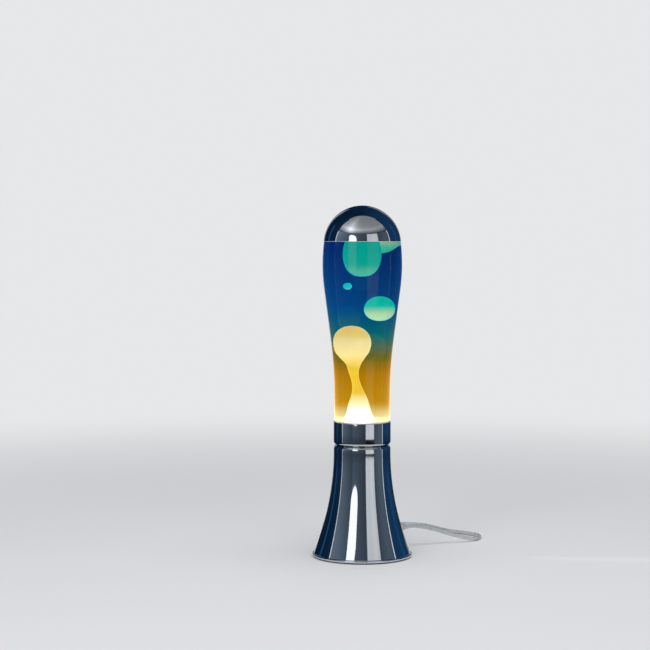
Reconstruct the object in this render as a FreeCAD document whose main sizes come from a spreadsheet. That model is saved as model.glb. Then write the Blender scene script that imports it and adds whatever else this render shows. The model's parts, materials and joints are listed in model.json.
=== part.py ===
import FreeCAD
import Part
import Sketcher

import math
import os
import re

# Liquid motion lamp: a chrome spun base with a bulb inside, a bottle of liquid and wax, and a chrome dome.
# Millimetres, +Z up, origin on the floor under the lamp's axis. The lead leaves at the back right.

SIZES = {
    # chrome base
    "base_height": 134.5,
    "base_radius": 60.0,
    "bead_radius": 1.75,
    "bead_lift": 1.0,
    "shoulder_round": 4.5,
    "shoulder_drop": 8.5,
    "shell_wall": 1.2,
    # foot and base plate
    "foot_height": 2.5,
    "foot_width": 6.25,
    "plate_wall": 1.2,
    "plate_gap": 0.3,
    "vent_circle": 30.0,
    "vent_radius": 3.5,
    "lug_inset": 4.5,
    "lug_reach": 4.0,
    "lug_height": 7.0,
    "lug_spread": 14.0,
    "weld_gap": 0.05,
    "plate_screw_head": 3.0,
    # collar under the bottle
    "collar_height": 27.5,
    "collar_reveal": 0.8,
    "collar_proud": 0.2,
    "collar_round": 4.5,
    "collar_wall": 1.2,
    "neck_screw_inset": 0.9,
    "neck_bore_inset": 4.0,
    "neck_screw_radius": 1.5,
    "neck_screw_head": 2.8,
    "neck_screw_head_height": 1.8,
    "neck_nut_size": 5.5,
    "neck_nut_height": 2.4,
    "screw_play": 0.15,
    "thread_play": 0.05,
    "screw_spare": 1.0,
    "gasket_height": 0.8,
    # bracket and lampholder
    "bracket_wall": 1.0,
    "bracket_gap": 0.3,
    "bracket_inset": 1.0,
    "bracket_width": 13.0,
    "nipple_radius": 5.0,
    "nipple_bore": 3.6,
    "nipple_spare": 2.0,
    "nipple_nut_size": 14.0,
    "nipple_nut_height": 3.0,
    "holder_lip": 0.3,
    "holder_wall": 3.5,
    "holder_floor": 8.0,
    "neck_room": 1.2,
    "contact_rise": 10.7,
    "contact_plate": 5.5,
    "contact_tip": 2.5,
    "contact_stem": 1.7,
    "contact_base": 1.0,
    "contact_step": 0.8,
    "sleeve_wall": 0.5,
    "sleeve_height": 22.0,
    # reflector bulb with a small screw cap
    "bulb_radius": 19.5,
    "bulb_length": 67.0,
    "bulb_cap_radius": 7.0,
    "bulb_cap_height": 18.0,
    "bulb_tip_height": 3.0,
    "bulb_neck": 8.8,
    "bulb_neck_height": 3.0,
    "bulb_cap_slope": 1.5,
    "bulb_contact_radius": 2.2,
    "bulb_contact_height": 1.0,
    "bulb_wall": 0.8,
    "bulb_play": 0.08,
    "bulb_air": 3.0,
    "filament_drop": 26.0,
    "filament_reach": 5.0,
    "filament_radius": 0.6,
    "filament_post": 0.35,
    "filament_stem": 2.4,
    "filament_stem_height": 6.0,
    # bottle
    "heel_width": 3.9,
    "spigot_play": 1.5,
    "spigot_depth": 12.8,
    "spigot_round": 2.0,
    "heel_round": 2.0,
    "waist_radius": 33.4,
    "waist_curve": 520.0,
    "cone_angle": 7.55,
    "belly_radius": 47.5,
    "belly_height": 187.2,
    "belly_curve": 220.0,
    "ledge_height": 214.2,
    "ledge_width": 1.34,
    "bottle_shoulder_round": 19.0,
    "bottle_wall": 2.4,
    "bottle_floor": 3.0,
    "mouth_radius": 17.5,
    "mouth_fillet": 3.0,
    "mouth_height": 12.0,
    "heel_step": 1.0,
    "heel_ease": 2.0,
    "ledge_ease": 5.0,
    "liquid_gap": 0.3,
    "liquid_drop": 9.0,
    "bottle_cap_wall": 0.5,
    "bottle_cap_skirt": 7.0,
    "bottle_cap_play": 0.1,
    "bottle_cap_curl": 0.4,
    "bottle_cap_curl_height": 3.0,
    "bottle_cap_edge": 0.6,
    "liner_height": 0.8,
    # wire ring and wax
    "ring_inset": 6.0,
    "ring_wire": 2.3,
    "ring_lift": 0.05,
    "wax_gap": 0.3,
    "column_room": 1.1,
    "column_drop": 73.1,
    "upper_blob_drop": 32.5,
    "upper_blob_radius": 19.3,
    "upper_blob_rise": 28.5,
    "side_blob_drop": 19.0,
    "side_blob_radius": 13.5,
    "side_blob_rise": 14.8,
    "middle_blob_drop": 52.6,
    "middle_blob_radius": 14.8,
    "middle_blob_rise": 16.2,
    "bead_drop": 38.5,
    "bead_of_wax_radius": 4.1,
    "bead_of_wax_rise": 4.2,
    # chrome dome
    "dome_overhang": 0.2,
    "dome_height": 42.6,
    "dome_wall": 1.0,
    "dome_gasket_height": 0.4,
    "dome_gasket_width": 1.2,
    "dome_gasket_inset": 0.1,
    # lead and its exit
    "cord_radius": 2.3,
    "cord_bearing": 50.0,
    "exit_height": 13.0,
    "relief_length": 20.0,
    "relief_root": 5.2,
    "relief_tip": 3.3,
    "relief_flange": 7.2,
    "relief_flange_height": 1.5,
    "relief_neck": 4.9,
    "relief_play": 0.1,
    "relief_seat": 0.15,
    "relief_back": 0.5,
    "relief_step": 0.8,
    "relief_nut_inset": 1.0,
    "inner_lead_radius": 1.1,
    "clamp_height": 9.2,
    "clamp_lift": 4.7,
    "clamp_length": 8.0,
    "clamp_width": 21.0,
    "clamp_back": 19.9,
    "clamp_play": 0.15,
    "clamp_screw_spacing": 14.0,
    "block_length": 16.0,
    "block_width": 17.0,
    "block_height": 12.0,
    "block_back": 15.0,
    "block_pitch": 8.0,
    "terminal_screw_radius": 1.7,
    "terminal_screw_height": 2.4,
    "terminal_well_radius": 1.9,
    "terminal_well_depth": 3.0,
    "small_screw_radius": 1.4,
    "small_screw_head": 2.5,
    "small_screw_head_height": 1.6,
    # coil of spare lead, its tie and its plug
    "coil_mid_radius": 27.0,
    "coil_pitch": 5.9,
    "coil_layer_step": 5.85,
    "coil_x": 4.0,
    "coil_y": 98.0,
    "tie_wall": 0.4,
    "tie_width": 7.0,
    "tie_gap": 0.3,
    "tail_room": 0.7,
    "plug_length": 37.0,
    "plug_width": 32.0,
    "plug_height": 14.2,
    "plug_tail": 18.0,
    "plug_tail_root": 4.6,
    "plug_edge": 3.0,
    "pin_radius": 2.0,
    "pin_length": 19.0,
    "pin_root": 7.0,
    "pin_core": 1.4,
    "pin_sleeve": 1.9,
    "pin_sleeve_end": 1.75,
    "pin_sleeve_length": 10.0,
    "pin_fit": 0.05,
    "pin_spacing": 18.6,
    # switch on the lead
    "link_length": 31.0,
    "switch_length": 48.4,
    "switch_width": 23.0,
    "switch_height": 15.0,
    "switch_split": 7.5,
    "switch_corner": 4.0,
    "switch_cord_height": 7.0,
    "switch_edge": 1.5,
    "switch_side_wall": 5.0,
    "switch_end_wall": 3.7,
    "switch_floor": 1.6,
    "rocker_window_width": 9.2,
    "rocker_length": 16.8,
    "rocker_play": 0.4,
    "rocker_rise": 3.6,
    "rocker_dish": 1.0,
    "rocker_side": 1.2,
    "rocker_heel": 3.0,
    "rocker_tilt": 9.0,
    "rocker_pin_drop": 2.4,
    "rocker_pin_radius": 1.0,
    "rocker_pin_seat": 3.4,
    "rocker_pin_play": 0.05,
    "rocker_pin_fit": 0.02,
    "switch_screw_inset": 2.5,
    "switch_screw_end": 9.2,
    "switch_screw_sink": 0.2,
    "switch_screw_cover": 3.2,
    "strip_width": 4.0,
    "strip_length": 13.0,
    "strip_wall": 0.8,
    "strip_rise": 3.6,
    "strip_end": 7.0,
}

# Sizes that follow from the ones above, in their names.
WORKED_OUT = {
    "collar_radius": "waist_radius + collar_reveal",
    "shoulder_radius": "collar_radius - collar_proud",
    "neck_screw_circle": "collar_radius - collar_round - neck_screw_head - neck_screw_inset",
    "shell_bore": "neck_screw_circle - neck_bore_inset",
    "spigot_radius": "waist_radius - heel_width",
    "collar_lip": "spigot_radius + spigot_play",
    "flare_top": "base_height - shoulder_drop",
    "bead_top": "bead_lift + 2 * bead_radius",
    "flare_drop": "flare_top - bead_top",
    "flare_width": "base_radius - bead_radius - shoulder_radius",
    "flare_curve": "(flare_width^2 + flare_drop^2) / (2 * flare_width)",
    "flare_foot": "base_radius - bead_radius",
    "plate_bottom": "foot_height",
    "plate_top": "foot_height + plate_wall",
    "plate_radius": "flare_foot - shell_wall - plate_gap",
    "foot_inner": "plate_radius - foot_width",
    "lug_circle": "foot_inner - lug_inset",
    "lug_inner": "lug_circle - lug_reach",
    "collar_top": "base_height + collar_height",
    "heel": "collar_top + gasket_height",
    "bottle_foot": "heel - spigot_depth",
    "bulb_top": "bottle_foot - bulb_air",
    "bulb_bottom": "bulb_top - bulb_length",
    "bulb_cap_bottom": "bulb_bottom + bulb_tip_height",
    "bulb_cap_top": "bulb_cap_bottom + bulb_cap_height",
    "bracket_top": "base_height - shell_wall",
    "bracket_outer": "shoulder_radius - shoulder_round - bracket_gap",
    "bracket_reach": "bracket_outer - bracket_inset",
    "holder_seat": "bulb_bottom - contact_rise",
    "holder_bottom": "holder_seat - holder_floor",
    "holder_top": "bulb_cap_top + holder_lip",
    "holder_bore": "bulb_neck + neck_room",
    "holder_radius": "holder_bore + holder_wall",
    "bracket_floor": "holder_bottom - bracket_wall",
    "nipple_length": "holder_floor + bracket_wall + nipple_nut_height + nipple_spare",
    "waist_top": "belly - belly_curve * sine - cone_rise - waist_curve * sine",
    "sine": "sin(cone_angle * 1 deg)",
    "cosine": "cos(cone_angle * 1 deg)",
    "cone_rise": "cone_run * cosine / sine",
    "cone_run": "belly_radius - waist_radius - (belly_curve + waist_curve) * (1 - cosine)",
    "belly": "heel + belly_height",
    "ledge": "heel + ledge_height",
    "belly_rim": "belly_radius - belly_curve + sqrt(belly_curve^2 - (ledge - belly)^2)",
    "bottle_shoulder": "belly_rim - ledge_width",
    "bottle_top": "ledge + bottle_shoulder_round",
    "mouth_top": "bottle_top + mouth_height",
    "liquid_top": "mouth_top - liquid_drop",
    "wax_floor": "bottle_foot + bottle_floor + wax_gap",
    "column_foot": "spigot_radius - bottle_wall - column_room",
    "column_height": "belly - column_drop - wax_floor",
    "ring_radius": "column_foot - ring_inset",
    "upper_blob_middle": "bottle_top - upper_blob_drop",
    "side_blob_middle": "bottle_top - side_blob_drop",
    "middle_blob_middle": "belly - middle_blob_drop",
    "bead_of_wax_middle": "upper_blob_middle - bead_drop",
    "dome_rim": "ledge + dome_gasket_height",
    "dome_rim_radius": "belly_rim + dome_overhang",
    "dome_radius": "(dome_rim_radius^2 + dome_height^2) / (2 * dome_height)",
    "dome_top": "dome_rim + dome_height",
    "dome_centre": "dome_top - dome_radius",
    "exit_sine": "(flare_top - exit_height) / flare_curve",
    "exit_radius": "shoulder_radius + flare_curve - sqrt(flare_curve^2 - (flare_top - exit_height)^2)",
    "low_layer": "cord_radius + tie_wall",
    "high_layer": "low_layer + coil_layer_step",
    "bulb_neck_top": "bulb_cap_top + bulb_neck_height",
    "bulb_wide": "bulb_top - bulb_radius",
    "bulb_flare": "bulb_radius - bulb_neck",
    "bulb_curve": "(bulb_flare^2 + (bulb_wide - bulb_neck_top)^2) / (2 * bulb_flare)",
    "coil_reach": "coil_mid_radius + 1.5 * coil_pitch",
    "coil_start": "coil_y + 2 * cord_radius",
    "tie_dip": "(tie_width / 2 + coil_pitch / 4)^2 / (2 * (coil_mid_radius - 2 * coil_pitch))",
    "switch_front": "coil_start + link_length",
    "switch_rear": "switch_front + switch_length",
    "switch_middle": "switch_front + switch_length / 2",
    "rocker_pin_height": "switch_height - rocker_pin_drop",
    "rocker_pin_length": "rocker_window_width + 2 * rocker_pin_seat",
    "switch_well_width": "switch_width - 2 * switch_side_wall",
    "switch_well_length": "switch_length - 2 * switch_end_wall",
    "switch_screw_x": "switch_width / 2 - switch_screw_inset",
    "switch_screw_y": "switch_length / 2 - switch_screw_end",
    "relief_inner": "-shell_wall - relief_back - relief_flange_height",
    "clamp_circle": "exit_radius - clamp_back",
    "block_circle": "clamp_circle - block_back",
    "inner_height": "plate_top + clamp_lift",
}


# The document, its sheet and its expressions.

doc = FreeCAD.newDocument("MotionLamp")
sheet = doc.addObject("Spreadsheet::Sheet", "Sizes")
for row, (name, number) in enumerate(SIZES.items(), 1):
    sheet.set(f"A{row}", name)
    sheet.set(f"B{row}", str(number))
    sheet.setAlias(f"B{row}", name)
doc.recompute()


def refer(text):
    """An expression in size names, written with the sheet's cells."""

    def swap(found):
        word = found.group(0)
        if word in WORKED_OUT:
            return "(" + refer(WORKED_OUT[word]) + ")"
        return "Sizes." + word if word in SIZES else word

    return re.sub(r"[a-z_]+", swap, text)


def value(text):
    """The number that an expression in size names gives."""
    return float(sheet.evalExpression(refer(text)))


def bind(thing, **sizes):
    """Ties properties of a document object to expressions. A double underscore stands for a dot."""
    for name, text in sizes.items():
        thing.setExpression(name.replace("__", "."), refer(text))


def turned(degrees, axis=(0, 0, 1), at=(0, 0, 0)):
    """A placement at a point, turned about an axis."""
    return FreeCAD.Placement(FreeCAD.Vector(*at), FreeCAD.Rotation(FreeCAD.Vector(*axis), degrees))


# Sketches: an outline is a list of corners (x, y), each with the radius and side of the arc that follows.
# A corner with no radius is followed by a straight line. LEFT and RIGHT say where the arc's centre lies.

LEFT = 1
RIGHT = -1


def arc_between(start, end, radius, side):
    """The arc shorter than half a circle from start to end, with its centre on the given side."""
    chord = end - start
    middle = (start + end) * 0.5
    normal = FreeCAD.Vector(-chord.y, chord.x, 0).normalize() * side
    reach = math.sqrt(max(radius**2 - chord.Length**2 / 4, 0))
    centre = middle + normal * reach
    first, last = (start, end) if side == LEFT else (end, start)
    angles = [math.atan2(p.y - centre.y, p.x - centre.x) for p in (first, last)]
    return Part.ArcOfCircle(Part.Circle(centre, FreeCAD.Vector(0, 0, 1), radius), *angles)


def pin_down(sketch, geometry, end, x, y):
    """Ties one end of a line or arc to a place, given as expressions."""
    for kind, axis, text in (("DistanceX", -2, x), ("DistanceY", -1, y)):
        if text == "0":
            sketch.addConstraint(Sketcher.Constraint("PointOnObject", geometry, end, axis))
        else:
            number = value(text)
            index = sketch.addConstraint(Sketcher.Constraint(kind, -1, 1, geometry, end, number))
            sketch.setExpression(f"Constraints[{index}]", refer(text))


def draw_outline(sketch, corners):
    """A closed outline of lines and arcs in a sketch."""
    spots = [FreeCAD.Vector(value(c[0]), value(c[1]), 0) for c in corners]
    starts = []
    for i, corner in enumerate(corners):
        here, there = spots[i], spots[(i + 1) % len(spots)]
        if len(corner) == 2:
            sketch.addGeometry(Part.LineSegment(here, there), False)
            starts.append((i, 1, 2))
        else:
            radius, side = corner[2:]
            sketch.addGeometry(arc_between(here, there, value(radius), side), False)
            starts.append((i, 1, 2) if side == LEFT else (i, 2, 1))
    for i in range(len(corners)):
        nearest, following = starts[i], starts[(i + 1) % len(corners)]
        sketch.addConstraint(
            Sketcher.Constraint("Coincident", nearest[0], nearest[2], following[0], following[1])
        )
    for (geometry, start, _), corner in zip(starts, corners):
        pin_down(sketch, geometry, start, corner[0], corner[1])
        if len(corner) > 2:
            index = sketch.addConstraint(Sketcher.Constraint("Radius", geometry, value(corner[2])))
            sketch.setExpression(f"Constraints[{index}]", refer(corner[2]))


def draw_circle(sketch, x, y, radius):
    """A circle in a sketch, with its centre and radius tied to expressions."""
    centre = FreeCAD.Vector(value(x), value(y), 0)
    circle = Part.Circle(centre, FreeCAD.Vector(0, 0, 1), value(radius))
    geometry = sketch.addGeometry(circle, False)
    pin_down(sketch, geometry, 3, x, y)
    index = sketch.addConstraint(Sketcher.Constraint("Radius", geometry, value(radius)))
    sketch.setExpression(f"Constraints[{index}]", refer(radius))


def origin_feature(body, role):
    """A plane or axis of the body's own origin."""
    return next(f for f in body.Origin.OriginFeatures if f.Role == role)


def new_sketch(body, role, lift="0"):
    """A sketch on one of the body's origin planes, lifted along the plane's normal."""
    sketch = body.newObject("Sketcher::SketchObject", "Outline")
    sketch.AttachmentSupport = [(origin_feature(body, role), "")]
    sketch.MapMode = "FlatFace"
    if lift != "0":
        bind(sketch, AttachmentOffset__Base__z=lift)
    return sketch


def new_body(name):
    """An empty body with the sub-part's name."""
    body = doc.addObject("PartDesign::Body", name)
    body.Label = name
    return body


def turn_about(body, corners):
    """Revolves an outline in radius and height about the body's own Z axis."""
    sketch = new_sketch(body, "XZ_Plane")
    draw_outline(sketch, corners)
    turn = body.newObject("PartDesign::Revolution", "Turned")
    turn.Profile = sketch
    turn.ReferenceAxis = (sketch, ["V_Axis"])
    turn.Angle = 360
    return turn


def turned_body(name, corners):
    """A round sub-part from its half section."""
    body = new_body(name)
    turn_about(body, corners)
    return body


def pad(body, sketch, length, symmetric=False):
    """Pads a sketch along its plane's normal, or half to each side."""
    solid = body.newObject("PartDesign::Pad", "Pad")
    solid.Profile = sketch
    bind(solid, Length=length)
    if symmetric:
        solid.SideType = "Symmetric"
    return solid


def cut_through(body, sketch):
    """Cuts a sketch right through the body, both ways."""
    hole = body.newObject("PartDesign::Pocket", "Hole")
    hole.Profile = sketch
    hole.Type = "ThroughAll"
    hole.SideType = "Symmetric"
    return hole


def cut_down(body, sketch, depth):
    """Cuts a pocket downwards from a sketch on a lifted XY plane."""
    hole = body.newObject("PartDesign::Pocket", "Pocket")
    hole.Profile = sketch
    bind(hole, Length=depth)
    return hole


def repeat_round(body, feature, count):
    """Repeats the last feature round the body's Z axis."""
    ring = body.newObject("PartDesign::PolarPattern", "Round")
    ring.Originals = [feature]
    ring.Axis = (origin_feature(body, "Z_Axis"), [""])
    ring.Angle = 360
    ring.Occurrences = count
    body.Tip = ring
    return ring


def ring_of_holes(body, circle, radius, count):
    """Drills round holes on a circle about the Z axis."""
    sketch = new_sketch(body, "XY_Plane")
    draw_circle(sketch, circle, "0", radius)
    repeat_round(body, cut_through(body, sketch), count)


def rounded_box(width, length, corner):
    """The corners of a rectangle centred on the origin, with rounded corners."""
    half_w, half_l = f"{width} / 2", f"{length} / 2"
    return [
        (f"{half_w} - {corner}", f"-{half_l}", corner, LEFT),
        (half_w, f"{corner} - {half_l}"),
        (half_w, f"{half_l} - {corner}", corner, LEFT),
        (f"{half_w} - {corner}", half_l),
        (f"{corner} - {half_w}", half_l, corner, LEFT),
        (f"-{half_w}", f"{half_l} - {corner}"),
        (f"-{half_w}", f"{corner} - {half_l}", corner, LEFT),
        (f"{corner} - {half_w}", f"-{half_l}"),
    ]


def plain_box(width, length):
    """The corners of a rectangle centred on the origin."""
    half_w, half_l = f"({width}) / 2", f"({length}) / 2"
    return [(half_w, f"-{half_l}"), (half_w, half_l), (f"-{half_w}", half_l), (f"-{half_w}", f"-{half_l}")]


def cylinder(name, radius, height, place):
    """A primitive cylinder standing on a placement."""
    solid = doc.addObject("Part::Cylinder", name)
    bind(solid, Radius=radius, Height=height)
    solid.Placement = place
    return solid


def box(name, width, length, height, place):
    """A primitive box from its low corner."""
    solid = doc.addObject("Part::Box", name)
    bind(solid, Length=width, Width=length, Height=height)
    solid.Placement = place
    return solid


def joined(name, pieces):
    """One solid fused from several."""
    fuse = doc.addObject("Part::MultiFuse", name)
    fuse.Label = name
    fuse.Shapes = pieces
    fuse.Refine = True
    return fuse


def cut_from(name, base, tool):
    """One solid with another taken away."""
    cut = doc.addObject("Part::Cut", name)
    cut.Label = name
    cut.Base = base
    cut.Tool = tool
    return cut


def group(name, pieces):
    """Separate like solids under one name."""
    together = doc.addObject("Part::Compound", name)
    together.Label = name
    together.Links = pieces
    return together


def screw(name, head, head_height, shank, length, place):
    """A round-headed screw whose head's underside is at its placement and whose shank runs down."""
    crown = cylinder(name + "_crown", head, head_height, place)
    down = place.multiply(FreeCAD.Placement(FreeCAD.Vector(0, 0, -value(length)), FreeCAD.Rotation()))
    stem = cylinder(name + "_stem", shank, length, down)
    return joined(name, [crown, stem])


def shaped(name, shape):
    """A sub-part whose shape is worked out by Part's own functions."""
    thing = doc.addObject("Part::Feature", name)
    thing.Label = name
    thing.Shape = shape
    return thing


# The chrome base, its foot and its plate.


def flare_edge(inset, height):
    """The radius of the concave flare at a height, a distance inside the chrome."""
    return f"shoulder_radius + flare_curve - sqrt((flare_curve + {inset})^2 - (flare_top - ({height}))^2)"


def make_base_shell():
    """Spun steel shell: flat top with a bore, rounded shoulder, concave flare, rolled bead."""
    inner_foot = "flare_foot - shell_wall"
    under_top = "base_height - shell_wall"
    body = turned_body(
        "shell_blank",
        [
            ("shell_bore", under_top),
            ("shoulder_radius - shoulder_round", under_top, "shoulder_round - shell_wall", RIGHT),
            ("shoulder_radius - shell_wall", "base_height - shoulder_round"),
            ("shoulder_radius - shell_wall", "flare_top", "flare_curve + shell_wall", LEFT),
            (flare_edge("shell_wall", "bead_top"), "bead_top"),
            (inner_foot, "bead_lift + bead_radius"),
            (inner_foot, "bead_lift"),
            ("flare_foot", "bead_lift", "bead_radius", LEFT),
            ("base_radius", "bead_lift + bead_radius", "bead_radius", LEFT),
            ("flare_foot", "bead_top", "flare_curve", RIGHT),
            ("shoulder_radius", "flare_top"),
            ("shoulder_radius", "base_height - shoulder_round", "shoulder_round", LEFT),
            ("shoulder_radius - shoulder_round", "base_height"),
            ("shell_bore", "base_height"),
        ],
    )
    ring_of_holes(body, "neck_screw_circle", "neck_screw_radius + screw_play", 3)
    deep = exit_place("-2 * relief_flange")
    drill = cylinder("cord_hole", "relief_neck + relief_play", "4 * relief_flange", deep)
    return cut_from("base_shell", body, drill)


def exit_place(step):
    """The placement of the lead's exit, its Z axis square to the flare, a step out from the chrome."""
    bearing = value("cord_bearing")
    lean = math.degrees(math.asin(value("exit_sine")))
    across = (-math.sin(math.radians(bearing)), math.cos(math.radians(bearing)), 0)
    at = (
        value("exit_radius") * math.cos(math.radians(bearing)),
        value("exit_radius") * math.sin(math.radians(bearing)),
        value("exit_height"),
    )
    out = FreeCAD.Placement(FreeCAD.Vector(0, 0, value(step)), FreeCAD.Rotation())
    return turned(90 - lean, across, at).multiply(out)


def make_foot_ring():
    """Rubber ring that the lamp stands on, glued under the plate."""
    return turned_body(
        "foot_ring",
        [
            ("foot_inner", "0"),
            ("plate_radius", "0"),
            ("plate_radius", "foot_height"),
            ("foot_inner", "foot_height"),
        ],
    )


def make_base_plate():
    """Steel disc that closes the base, with vents and screw holes."""
    body = turned_body(
        "base_plate",
        [
            ("0", "plate_bottom"),
            ("plate_radius", "plate_bottom"),
            ("plate_radius", "plate_top"),
            ("0", "plate_top"),
        ],
    )
    ring_of_holes(body, "lug_circle", "small_screw_radius + screw_play", 3)
    sketch = new_sketch(body, "XY_Plane")
    bearing = "cord_bearing * 1 deg"
    draw_circle(sketch, f"-vent_circle * cos({bearing})", f"-vent_circle * sin({bearing})", "vent_radius")
    repeat_round(body, cut_through(body, sketch), 5)
    return body


def make_plate_lugs():
    """Three steel lugs welded inside the shell, which take the plate's screws."""
    body = new_body("plate_lugs")
    sketch = new_sketch(body, "XZ_Plane")
    top = "plate_top + lug_height"
    skin = "shell_wall + weld_gap"
    draw_outline(
        sketch,
        [
            ("lug_inner", "plate_top"),
            (flare_edge(skin, "bead_top") + " - plate_gap", "plate_top"),
            (flare_edge(skin, "bead_top"), "bead_top", f"flare_curve + {skin}", RIGHT),
            (flare_edge(skin, top), top),
            ("lug_inner", top),
        ],
    )
    turn = body.newObject("PartDesign::Revolution", "Turned")
    turn.Profile = sketch
    turn.ReferenceAxis = (sketch, ["V_Axis"])
    turn.Midplane = True
    bind(turn, Angle="lug_spread")
    holes = new_sketch(body, "XY_Plane")
    draw_circle(holes, "lug_circle", "0", "small_screw_radius + thread_play")
    hole = cut_through(body, holes)
    ring = body.newObject("PartDesign::PolarPattern", "Round")
    ring.Originals = [turn, hole]
    ring.Axis = (origin_feature(body, "Z_Axis"), [""])
    ring.Angle = 360
    ring.Occurrences = 3
    body.Tip = ring
    return body


def make_plate_screws():
    """Three screws up through the plate into its lugs."""
    screws = []
    for i in range(3):
        angle = math.radians(120 * i)
        circle = value("lug_circle")
        spot = (circle * math.cos(angle), circle * math.sin(angle), value("plate_bottom"))
        place = turned(180, (1, 0, 0), spot)
        screws.append(
            screw(
                f"plate_screw_{i + 1}",
                "plate_screw_head",
                "small_screw_head_height",
                "small_screw_radius",
                "plate_wall + lug_height - screw_spare",
                place,
            )
        )
    return group("plate_screws", screws)


# The collar that the bottle stands in.


def make_collar():
    """Spun cup clamped on the base, with a turned-in lip that carries the bottle."""
    inner_wall = "collar_radius - collar_wall"
    body = turned_body(
        "collar",
        [
            ("shell_bore", "base_height"),
            ("collar_radius - collar_round", "base_height", "collar_round", LEFT),
            ("collar_radius", "base_height + collar_round"),
            ("collar_radius", "collar_top"),
            ("collar_lip", "collar_top"),
            ("collar_lip", "collar_top - collar_wall"),
            (inner_wall, "collar_top - collar_wall"),
            (inner_wall, "base_height + collar_round", "collar_round - collar_wall", RIGHT),
            ("collar_radius - collar_round", "base_height + collar_wall"),
            ("shell_bore", "base_height + collar_wall"),
        ],
    )
    ring_of_holes(body, "neck_screw_circle", "neck_screw_radius + screw_play", 3)
    return body


def make_collar_screws():
    """Three screws that clamp collar, base and bracket together."""
    grip = "collar_wall + shell_wall + bracket_wall + neck_nut_height"
    screws = []
    for i in range(3):
        angle = math.radians(120 * i)
        circle = value("neck_screw_circle")
        spot = (circle * math.cos(angle), circle * math.sin(angle), value("base_height + collar_wall"))
        screws.append(
            screw(
                f"collar_screw_{i + 1}",
                "neck_screw_head",
                "neck_screw_head_height",
                "neck_screw_radius",
                grip + " + screw_spare",
                turned(0, at=spot),
            )
        )
    return group("collar_screws", screws)


def hexagon(across, x="0"):
    """The corners of a hexagon with the given width across its flats."""
    corners = []
    for k in range(6):
        angle = 30 + 60 * k
        reach = f"{across} / 2 / cos(30 deg)"
        corners.append((f"{x} + {reach} * cos({angle} deg)", f"{reach} * sin({angle} deg)"))
    return corners


def make_collar_nuts():
    """Three nuts under the bracket."""
    body = new_body("collar_nuts")
    sketch = new_sketch(body, "XY_Plane", "bracket_top - bracket_wall - neck_nut_height")
    draw_outline(sketch, hexagon("neck_nut_size", "neck_screw_circle"))
    draw_circle(sketch, "neck_screw_circle", "0", "neck_screw_radius + thread_play")
    repeat_round(body, pad(body, sketch, "neck_nut_height"), 3)
    return body


def make_seat_gasket():
    """Silicone ring between the collar's lip and the bottle's heel."""
    return turned_body(
        "seat_gasket",
        [
            ("collar_lip", "collar_top"),
            ("waist_radius", "collar_top"),
            ("waist_radius", "heel"),
            ("collar_lip", "heel"),
        ],
    )


# The bracket, the lampholder and the bulb.


def make_holder_bracket():
    """Strap that hangs the lampholder under the base's top: a ring, two legs and a cross plate."""
    body = new_body("holder_bracket")
    ring = new_sketch(body, "XY_Plane", "bracket_top - bracket_wall")
    draw_circle(ring, "0", "0", "bracket_outer")
    draw_circle(ring, "0", "0", "shell_bore")
    pad(body, ring, "bracket_wall")
    strap = new_sketch(body, "YZ_Plane")
    draw_outline(
        strap,
        [
            ("-bracket_reach", "bracket_top - bracket_wall"),
            ("-bracket_reach", "bracket_floor"),
            ("bracket_reach", "bracket_floor"),
            ("bracket_reach", "bracket_top - bracket_wall"),
            ("bracket_reach - bracket_wall", "bracket_top - bracket_wall"),
            ("bracket_reach - bracket_wall", "bracket_floor + bracket_wall"),
            ("bracket_wall - bracket_reach", "bracket_floor + bracket_wall"),
            ("bracket_wall - bracket_reach", "bracket_top - bracket_wall"),
        ],
    )
    pad(body, strap, "bracket_width", symmetric=True)
    bore = new_sketch(body, "XY_Plane", "bracket_floor + bracket_wall")
    draw_circle(bore, "0", "0", "nipple_radius + screw_play")
    cut_down(body, bore, "bracket_wall * 2")
    ring_of_holes(body, "neck_screw_circle", "neck_screw_radius + screw_play", 3)
    return body


def make_lampholder():
    """Heat-proof holder body, its threaded sleeve and its centre contact."""
    inside = "bulb_cap_radius + bulb_play"
    outside = inside + " + sleeve_wall"
    lip = "holder_seat + sleeve_height"
    stem_foot = "holder_seat + contact_base + contact_step"
    turned_body(
        "holder_body",
        [
            ("nipple_radius + thread_play", "holder_bottom"),
            ("holder_radius", "holder_bottom"),
            ("holder_radius", "holder_top"),
            ("holder_bore", "holder_top"),
            ("holder_bore", lip),
            (outside + " + thread_play", lip),
            (outside + " + thread_play", "holder_seat"),
            ("nipple_radius + thread_play", "holder_seat"),
        ],
    )
    turned_body(
        "holder_sleeve",
        [(inside, "holder_seat"), (outside, "holder_seat"), (outside, lip), (inside, lip)],
    )
    turned_body(
        "holder_contact",
        [
            ("0", "holder_seat"),
            ("contact_plate", "holder_seat"),
            ("contact_plate", "holder_seat + contact_base"),
            ("contact_stem", stem_foot),
            ("contact_stem", "bulb_bottom - 1.5 * contact_step"),
            ("contact_tip", "bulb_bottom - contact_step"),
            ("contact_tip", "bulb_bottom"),
            ("0", "bulb_bottom"),
        ],
    )


def make_nipple():
    """Threaded tube that holds the lampholder to the bracket, and its nut."""
    turned_body(
        "holder_nipple",
        [
            ("nipple_bore", "holder_seat - nipple_length"),
            ("nipple_radius", "holder_seat - nipple_length"),
            ("nipple_radius", "holder_seat"),
            ("nipple_bore", "holder_seat"),
        ],
    )
    body = new_body("holder_nut")
    sketch = new_sketch(body, "XY_Plane", "bracket_floor - nipple_nut_height")
    draw_outline(sketch, hexagon("nipple_nut_size"))
    draw_circle(sketch, "0", "0", "nipple_radius + thread_play")
    pad(body, sketch, "nipple_nut_height")


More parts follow.
